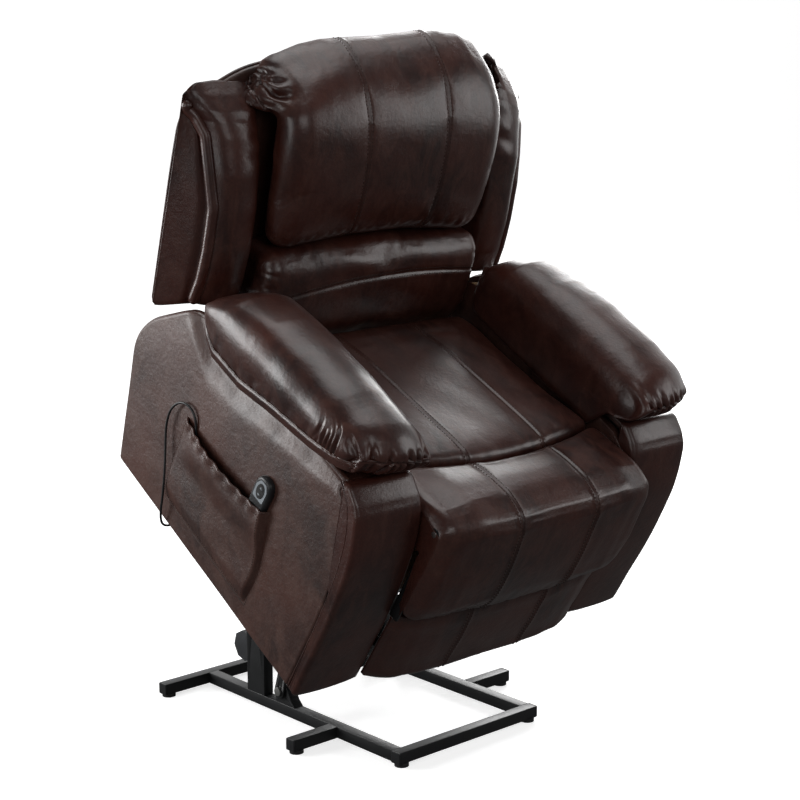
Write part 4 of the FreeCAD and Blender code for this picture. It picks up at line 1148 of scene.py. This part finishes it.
def make_handset():
    """A pebble-shaped shell, a dark oval window round the buttons and an arrow on each."""
    low, middle = HANDSET_LOW, HANDSET_MIDDLE
    outline = polygon([(middle + u, low + v) for u, v in (
        (-16, 0), (16, 0), (22, 30), (24, 70), (25, 98), (19, 118), (0, 125), (-19, 118), (-25, 98),
        (-24, 70), (-22, 30))], [9, 9, 40, 40, 16, 16, 22, 16, 16, 40, 40], 150)
    rows = crossed(pillow(outline, *SHELL_FACES, (6.5, 6.5), bulge=(0.4, 0.4), step=3, steps=8))
    shell = skin("handset_body", rows, SEAT)
    finish_piece(shell, MOULDED, "seat_frame", ["handset_shell"])
    window = [(middle + WINDOW_ACROSS * math.cos(a), low + WINDOW_PLACE + WINDOW_UP * math.sin(a))
              for a in np.linspace(0, 2 * math.pi, 72, endpoint=False)]
    rows = crossed(pillow(np.array(window), *WINDOW_FACES, (0.5, 0.3), bulge=(0.1, 0.1), step=1,
                          steps=4))
    finish_piece(skin("handset_window", rows, SEAT), RUBBER, "seat_frame")
    for button, height, way in BUTTON_PLACES:
        arrow = polygon([(middle - 4, low + height - 2 * way), (middle + 4, low + height - 2 * way),
                         (middle, low + height + 2.4 * way)], 0.6, 36)
        rows = crossed(pillow(arrow, *ARROW_FACES, (0.2, 0.2), bulge=(0.0, 0.0), step=1, steps=3))
        finish_piece(skin(f"{button}_arrow", rows, SEAT), FACE_GREY, button)


# --------------------------------------------------------------------------- cord
# from the foot of the handset, out over the pocket's rear corner, down and under to the control box
CORD_ROUTE = [
    (-469.5, 272, 203), (-469.5, 272, 160), (-468.6, 302, 118), (-467.6, 356, 96),
    (-466.4, 412, 106), (-465.8, 456, 142), (-466.0, 483, 192), (-466.5, 493, 236),
    (-469.0, 516, 275), (-473.5, 555, 275), (-475.5, 578, 240), (-475.0, 575, 196),
    (-475.5, 554, 158), (-477.0, 527, 112), (-477.5, 505, 62), (-475.0, 494, 18),
    (-462.0, 489, -14), (-428.0, 492, -24), (-386.0, 502, -26), (-344.0, 517, -20),
    (-304.0, 541, -10), (-278.0, 556, 22), (-278.0, 556, 62),
]
CORD_DIAMETER, CORD_LENGTH = 0.005, 1.006


def make_cord():
    curve = bpy.data.curves.new("handset_lead", "CURVE")
    curve.dimensions = "3D"
    curve.bevel_depth = CORD_DIAMETER / 2
    curve.bevel_resolution = 5
    curve.resolution_u = 10
    curve.use_fill_caps = True
    line = curve.splines.new("NURBS")
    line.points.add(len(CORD_ROUTE) - 1)
    for point, place in zip(line.points, CORD_ROUTE):
        point.co = (*(SEAT @ Vector(place)), 1.0)
    line.use_endpoint_u = True
    line.order_u = 3
    obj = bpy.data.objects.new("handset_lead", curve)
    bpy.context.scene.collection.objects.link(obj)
    curve.materials.append(MOULDED)
    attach(obj, "seat_frame")
    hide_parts("handset_cord")


# --------------------------------------------------------------------------- carried CAD nodes
# the carried nodes that wear each material
CAD_LOOKS = {
    POWDER: ("front_bar", "rear_bar", "left_side_rail", "right_side_rail", "outriggers", "left_post",
             "right_post", "front_brackets", "actuator_clevis", "left_front_link", "right_front_link",
             "link_cross_tube", "rear_links", "left_carriage_rail", "right_carriage_rail",
             "carriage_plates", "carriage_cross_tubes", "rod_lug", "back_hinge_plates",
             "footrest_arms"),
    ZINC: ("base_pivot_bolts", "frame_pins"),
    MOULDED: ("tube_end_caps", "actuator_gearbox", "control_box"),
    MOTOR_GREY: ("actuator_motor",),
    RUBBER: ("floor_feet", "up_button", "down_button"),
    ALUMINIUM: ("actuator_tube", "rod_end_eye"),
    CHROME: ("actuator_rod",),
    SPRING: ("seat_springs",),
    WOOD: ("seat_rails", "left_inner_panel", "right_inner_panel"),
    FACE_GREY: ("handset_face",),
    HIDE_FLAT: ("left_arm_board", "right_arm_board"),
}
# radius in metres that a carried node's edges are rounded to
EDGE_ROUNDING = {
    "up_button": 0.0015, "down_button": 0.0015,
    "tube_end_caps": 0.0025, "actuator_motor": 0.003, "actuator_gearbox": 0.003, "control_box": 0.004,
    "floor_feet": 0.002, "left_arm_board": 0.004, "right_arm_board": 0.004,
}
NO_ROUNDING = ("seat_springs", "handset_face")
DEFAULT_ROUNDING = 0.0012


def dress_nodes():
    """Give the carried nodes their materials and soften their edges."""
    for material, names in CAD_LOOKS.items():
        for name in names:
            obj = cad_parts[name]
            obj.data.materials.clear()
            obj.data.materials.append(material)
            if name in NO_ROUNDING:
                continue
            weld = obj.modifiers.new("weld", "WELD")
            weld.merge_threshold = 0.00002
            edge = obj.modifiers.new("edge", "BEVEL")
            edge.width = EDGE_ROUNDING.get(name, DEFAULT_ROUNDING)
            edge.segments = 3
            edge.limit_method = "ANGLE"
            edge.angle_limit = math.radians(40)
            edge.harden_normals = False
            for face in obj.data.polygons:
                face.use_smooth = True


# --------------------------------------------------------------------------- studio
CAMERA_TURN, CAMERA_DIP = math.radians(42.24), math.radians(11.754)
CAMERA_PLACE = (-2.626, (-2673.0 + BASE_FRONT) * MM, 1.518)
LENS, SENSOR_WIDTH = 85.5, 36.0
AMBIENT, PAPER_GLOW = 0.08, 0.70
BACKDROP_HALF_WIDTH = 8.0
# y and z along the sweep; the part above FLOOR_END is the wall, which the leather reflects
SWEEP = ((-6.0, 0.0), (3.2, 0.0), (3.7, 0.08), (4.05, 0.35), (4.15, 0.8), (4.15, 5.0))
FLOOR_END = 0.25
# where the softboxes point
AIM = Vector((0, 0, 0.7))
# name, place, (width, height) and power of each softbox
LIGHTS = (
    ("overhead", (0.3, 0.2, 3.7), (2.6, 2.4), 40.0),
    ("back_left_softbox", (-3.0, 2.9, 1.6), (2.0, 2.2), 115.0),
    ("back_right_softbox", (3.0, 1.8, 2.2), (1.6, 2.4), 85.0),
    ("left_fill", (-3.6, -0.6, 1.4), (1.4, 1.8), 18.0),
    ("front_fill", (-1.2, -3.6, 2.2), (2.2, 1.6), 20.0),
    ("right_fill", (2.8, -2.4, 1.9), (1.6, 1.8), 24.0),
)


def make_studio():
    """White paper sweep and softboxes; neither is part of the chair."""
    scene = bpy.context.scene
    world = bpy.data.worlds.new("studio")
    world.use_nodes = True
    world.node_tree.nodes["Background"].inputs["Color"].default_value = (1.0, 1.0, 1.0, 1)
    world.node_tree.nodes["Background"].inputs["Strength"].default_value = AMBIENT
    scene.world = world
    scene.view_settings.view_transform = "Standard"
    paper = Look("paper", 0.85)
    tone = paper.ramp(paper.noise(1.5, 2), (0.3, (0.86, 0.86, 0.86)), (0.7, (0.89, 0.89, 0.89)))
    paper.feed("Base Color", tone)
    paper.fix("Emission Color", (1.0, 1.0, 1.0, 1))
    paper.fix("Emission Strength", PAPER_GLOW)
    line = spline(SWEEP, 60, closed=False)
    split = int(np.argmax(line[:, 1] > FLOOR_END))
    for name, part, reflected in (("floor", line[:split + 1], False), ("wall", line[split:], True)):
        points, faces = [], []
        for y, z in part:
            points += [(-BACKDROP_HALF_WIDTH, y, z), (BACKDROP_HALF_WIDTH, y, z)]
        for i in range(len(part) - 1):
            faces.append((2 * i, 2 * i + 1, 2 * i + 3, 2 * i + 2))
        backdrop = build(name, points, faces, Matrix.Rotation(-CAMERA_TURN, 4, "Z"))
        for face in backdrop.data.polygons:
            face.use_smooth = True
        backdrop.data.materials.append(paper.material)
        backdrop.visible_glossy = reflected
        backdrop.visible_diffuse = False
    for name, place, size, power in LIGHTS:
        light = bpy.data.lights.new(name, "AREA")
        light.shape = "RECTANGLE"
        light.size, light.size_y = size
        light.energy = power
        obj = bpy.data.objects.new(name, light)
        scene.collection.objects.link(obj)
        obj.location = place
        obj.rotation_euler = (AIM - Vector(place)).to_track_quat("-Z", "Y").to_euler()


def make_camera():
    data = bpy.data.cameras.new("camera")
    data.lens, data.sensor_width = LENS, SENSOR_WIDTH
    data.clip_start, data.clip_end = 0.05, 60.0
    camera = bpy.data.objects.new("camera", data)
    bpy.context.scene.collection.objects.link(camera)
    camera.location = CAMERA_PLACE
    camera.rotation_euler = (math.pi / 2 - CAMERA_DIP, 0.0, -CAMERA_TURN)
    bpy.context.scene.camera = camera


# --------------------------------------------------------------------------- all of it
make_camera()
make_cord()
make_studio()
dress_nodes()
make_seat()
make_roll()
make_foot_panel()
make_upper_back()
make_lumbar()
make_wings()
make_rear_cover()
make_back_lining()
make_arm_pads()
make_linings()
make_arm_fronts()
make_side_panels()
make_pocket()
make_handset()
